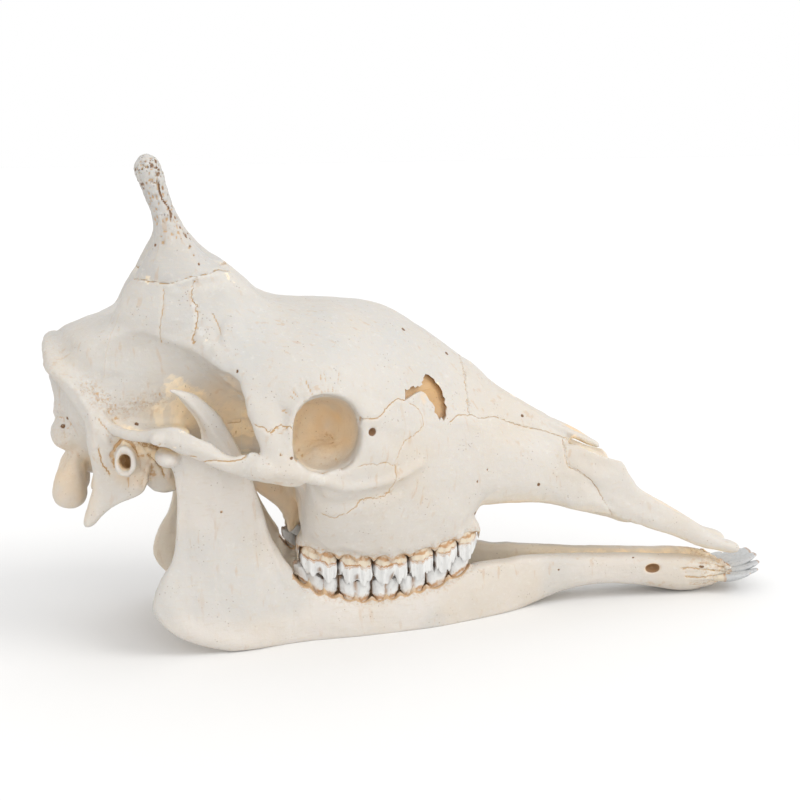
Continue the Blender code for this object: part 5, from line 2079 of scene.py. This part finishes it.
MANDIBLE_SWELLS = (
    Swell([(-214, 82, 60), (-212, 83, 36), (-196, 82, 16), (-170, 78, 5), (-140, 72, 2)], 1.2, 6.0),
    Swell([(-200, 82, 120), (-196, 82, 90), (-186, 82, 56), (-166, 80, 30)], -0.9, 9.0),
    Swell([(-207, 80, 208), (-197, 80, 202), (-186, 80, 190), (-175, 79, 174), (-164, 78, 158), (-156, 76, 140)],
          1.3, 2.6),
    Swell([(-205, 79, 204), (-197, 79, 194), (-189, 79, 181), (-180, 78, 166), (-172, 78, 148)], -2.4, 4.2),
    Swell([(-140, 72, 102), (-136, 72, 84), (-130, 71, 69), (-119, 69, 44)], 1.2, 3.0),
    Swell([(240, 27, 12), (256, 26, 12), (270, 24, 14)], -0.8, 2.2),
    Swell([(236, 26, 22), (252, 26, 21), (270, 24, 21)], -0.7, 2.0),
)


@dataclass
class Mandible:
    """One half of the lower jaw.

    Attributes:
        stock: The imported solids.
        hollows: How enclosed each place is.
        side: Which half.
        voxel: The size of the skin's faces.
        marks: The seams, holes and ridges.
    """

    stock: Stock
    hollows: Hollows
    side: Side
    voxel: float = 1.1
    marks: Marks = field(default_factory=lambda: Marks(MANDIBLE_SEAMS, MANDIBLE_PITS, MANDIBLE_SWELLS))

    def blank(self) -> Thing:
        """The bone with clean tooth rims, before its marks, on its own side.

        Returns:
            The half, as one closed object.
        """
        bone = mesh_object("half", self.stock.skin(["mandible_" + self.side.word]))
        remesh(bone, self.voxel, 2)
        for space in (LOWER_TEETH.socket(28, 72), slab(CHIN_SPACE, -60, 60)):
            combine(bone, mesh_object("space", space.on(self.side)), Operation.CUT)
        thorns = [thorn.on(self.side) for thorn in LOWER_TEETH.thorns()]
        bone = mesh_object(f"mandible_{self.side.word}_bone", joined_skins([taken_skin(bone), *thorns]))
        remesh(bone, self.voxel, 3)
        keep_largest(bone)
        return bone

    def build(self, finish: Material) -> Thing:
        """Builds and dresses the bone.

        Args:
            finish: Its material.

        Returns:
            The piece.
        """
        bone = self.blank()
        points, normals = read_points(bone), read_normals(bone)
        height = self.marks.height(points, normals)
        neck = read_row(LOWER_TEETH.table, points[:, 0])[:, 2]
        rim = (1 - step(3, 8, neck - points[:, 2])) * (points[:, 0] < 40) * (points[:, 0] > -112)
        chin = step(236, 262, points[:, 0])
        crust = np.maximum(rim * 0.6, chin * 0.7)
        height += noise(points, 18.0, 31) * 0.45 + noise(points, 5.0, 32) * 0.14 + noise(points, 2.4, 33) * 0.06
        height += crust * noise(points, 2.4, 34) * 0.6 + chin * noise(points * (0.25, 1, 1), 2.2, 35) * 0.5
        height += craggy(points, JAW_CRAGS)
        resting = placed(points, STANCE.to_floor())
        height *= step(0.6 * MM, 2.2 * MM, resting[:, 2])
        points = points + normals * height[:, None]
        points[:, 1] = self.side.value * np.maximum(points[:, 1] * self.side.value, 0.12)
        resting = placed(points, STANCE.to_floor())
        resting[:, 2] = np.maximum(resting[:, 2], 0)
        write_points(bone, placed(resting, STANCE.to_table()))
        points, normals = read_points(bone), read_normals(bone)
        self.marks.draw(bone, points, normals)
        closed = self.hollows.at(points, normals)
        inward = step(0.0, 0.5, -self.side.value * normals[:, 1])
        # Tan painted warm shade where the bone is enclosed and on its inner face, with a stain on the chin.
        stain = step(0.32, 0.9, closed) * 0.8 + inward * 0.35 + chin * 0.25
        # Golden painted shade in the chin's hole, and golden stains on the spongy chin.
        gold = CHIN_HOLE_SHADE.at(*folded(points))
        spongy = CHIN_SPONGE.at(*folded(points)) * step(-0.2, 0.4, noise(points, 5.0, 37))
        grey = step(0.1, 0.7, noise(points, 40, 36)) * 0.6 + chin
        paint(bone, stain=stain, gold=np.maximum(gold, spongy), grey=grey, crust=crust, pores=chin * 0.4)
        paint_creases(bone, LOWER_TEETH.gum(points))
        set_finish(bone, "jaw_bone")
        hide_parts("mandible_" + self.side.word)
        finish_piece(bone, finish)
        return bone


def paint_creases(bone: Thing, gum: Array) -> None:
    """Stores where a bone is creased, which its finish paints brown as shade and dirt, and where it stands out and
    is worn pale.

    Args:
        bone: The bone.
        gum: How stained each of its places is beside the teeth, from 0 to 1.
    """
    sharp, wide = creases(bone, 3), creases(bone, 14)
    folds = np.maximum(step(0.03, 0.22, sharp), step(0.25, 1.3, wide) * 0.8)
    paint(bone, crease=np.maximum(folds, gum), edge=step(0.3, 1.2, -wide) * 0.5)


def finish_piece(piece: Thing, finish: Material) -> None:
    """Moves a piece to the floor, dresses it, lets it ride with the skull and reports it.

    Args:
        piece: The piece, in table millimetres.
        finish: Its material.
    """
    piece.data.transform(STANCE.to_floor())
    piece.data.materials.clear()
    piece.data.materials.append(finish)
    piece.data.polygons.foreach_set("use_smooth", np.ones(len(piece.data.polygons), bool))
    if piece.name.endswith("bone"):
        piece.data.set_sharp_from_angle(angle=math.radians(SHARP_DEGREES))
    piece.data.polygons.foreach_set("material_index", np.zeros(len(piece.data.polygons), np.int32))
    piece.data.update()
    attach(piece, BODY)
    LOG.info("%s: %d faces", piece.name, len(piece.data.polygons))


# The studio.


@dataclass(frozen=True)
class Studio:
    """A pale floor, soft lights and the camera.

    Attributes:
        floor_size: The floor's width, in metres.
        floor_tone: How much light it sends back.
        image: The picture's width, in pixels.
        focal: The lens, in those pixels.
        eye: The camera's place before the skull was tipped, in millimetres.
        yaw: How far the camera turns towards the muzzle, in degrees.
        pitch: How far it looks down, in degrees.
        sky: The strength of the light from all round.
        key: The strength of the light from the right.
        key_spread: How wide that light is, in degrees.
        key_from: The direction that it comes from.
        fill: The strength of the light from the front.
        fill_from: The direction that it comes from.
        warmth: The colour of both.
    """

    floor_size: float = 60.0
    floor_tone: float = 0.83
    image: float = 800.0
    focal: float = 1344.4
    eye: Triple = (-215.1, -1100.0, 388.9)
    yaw: float = 10.257
    pitch: float = 10.564
    sky: float = 1.0
    key: float = 1.05
    key_spread: float = 30.0
    key_from: Triple = (0.95, -0.6, 0.95)
    fill: float = 0.62
    fill_from: Triple = (0.05, -1.0, 0.42)
    warmth: Triple = (1.0, 0.985, 0.955)

    def floor(self) -> None:
        """A plain floor."""
        half = self.floor_size / 2
        corners = np.array([(-half, -half, 0), (half, -half, 0), (half, half, 0), (-half, half, 0)])
        floor = mesh_object("floor", Skin(corners, np.array([[0, 1, 2, 3]])))
        sheet = NodeSheet("floor")
        sheet.coat((self.floor_tone,) * 3, [((self.floor_tone * 0.985,) * 3, sheet.noise(sheet.place(), 3.0, 2.0))])
        sheet.set("Roughness", 0.8)
        sheet.set("Specular IOR Level", 0.1)
        floor.data.materials.append(sheet.made)
        floor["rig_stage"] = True

    def sun(self, name: str, power: float, spread: float, source: Sequence[float]) -> None:
        """A wide soft light.

        Args:
            name: Its name.
            power: Its strength.
            spread: How wide it is, in degrees.
            source: The direction that it comes from.
        """
        light = bpy.data.lights.new(name, "SUN")
        light.energy = power
        light.angle = math.radians(spread)
        light.color = self.warmth
        in_scene(name, light).rotation_euler = Vector(source).to_track_quat("Z", "Y").to_euler()

    def lights(self) -> None:
        """Soft lights from above on the right and from the front, and a white sky."""
        self.sun("key", self.key, self.key_spread, self.key_from)
        self.sun("fill", self.fill, self.key_spread * 1.6, self.fill_from)
        world = bpy.data.worlds.new("sky")
        world.use_nodes = True
        back = world.node_tree.nodes["Background"]
        back.inputs["Color"].default_value = (1, 1, 1, 1)
        back.inputs["Strength"].default_value = self.sky
        bpy.context.scene.world = world
        bpy.context.scene.view_settings.view_transform = "Standard"

    def camera(self) -> None:
        """The camera that sees what the picture shows."""
        yaw, pitch = math.radians(self.yaw), math.radians(self.pitch)
        ahead = Vector((math.sin(yaw) * math.cos(pitch), math.cos(yaw) * math.cos(pitch), -math.sin(pitch)))
        before = Matrix.Translation(self.eye) @ ahead.to_track_quat("-Z", "Y").to_matrix().to_4x4()
        lens = bpy.data.cameras.new("camera")
        lens.sensor_width = 36.0
        lens.lens = self.focal / self.image * lens.sensor_width
        lens.clip_start = 0.05
        made = in_scene("camera", lens)
        made.matrix_world = STANCE.to_floor() @ before @ Matrix.Scale(1 / MM, 4)
        bpy.context.scene.camera = made

    def build(self) -> None:
        """Builds all of it."""
        self.floor()
        self.lights()
        self.camera()


def main() -> tuple[list[float], list[float]]:
    """Builds the whole scene.

    Returns:
        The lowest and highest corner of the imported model.
    """
    logging.basicConfig(level=logging.INFO, format="%(message)s")
    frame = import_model()
    low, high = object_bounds()
    Studio().build()
    stock = Stock(frame["nodes"])
    hollows = Hollows(stock)
    LOG.info("hollows measured: %d places", len(hollows.values))
    finishes = {
        "bone": BoneFinish().material(),
        "jaw_bone": BoneFinish(name="jaw_bone", ivory=(0.61, 0.57, 0.525)).material(),
        "horn_bone": HornFinish().material(),
    }
    Cranium(stock, hollows).build(finishes)
    enamel, blade = EnamelFinish().material(), BladeFinish().material()
    for side in Side:
        Mandible(stock, hollows, side).build(finishes["jaw_bone"])
        for teeth, slot in ((UPPER_TEETH, "bone"), (LOWER_TEETH, "jaw_bone")):
            piece = teeth.build(f"{teeth.row.name.lower()}_cheek_teeth_{side.word}", side)
            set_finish(piece, slot)
            finish_piece(piece, enamel)
        piece = FrontTeeth().build(f"front_teeth_{side.word}", side)
        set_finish(piece, "jaw_bone")
        finish_piece(piece, blade)
    return list(low), list(high)


if __name__ == "__main__":
    cad_box = main()
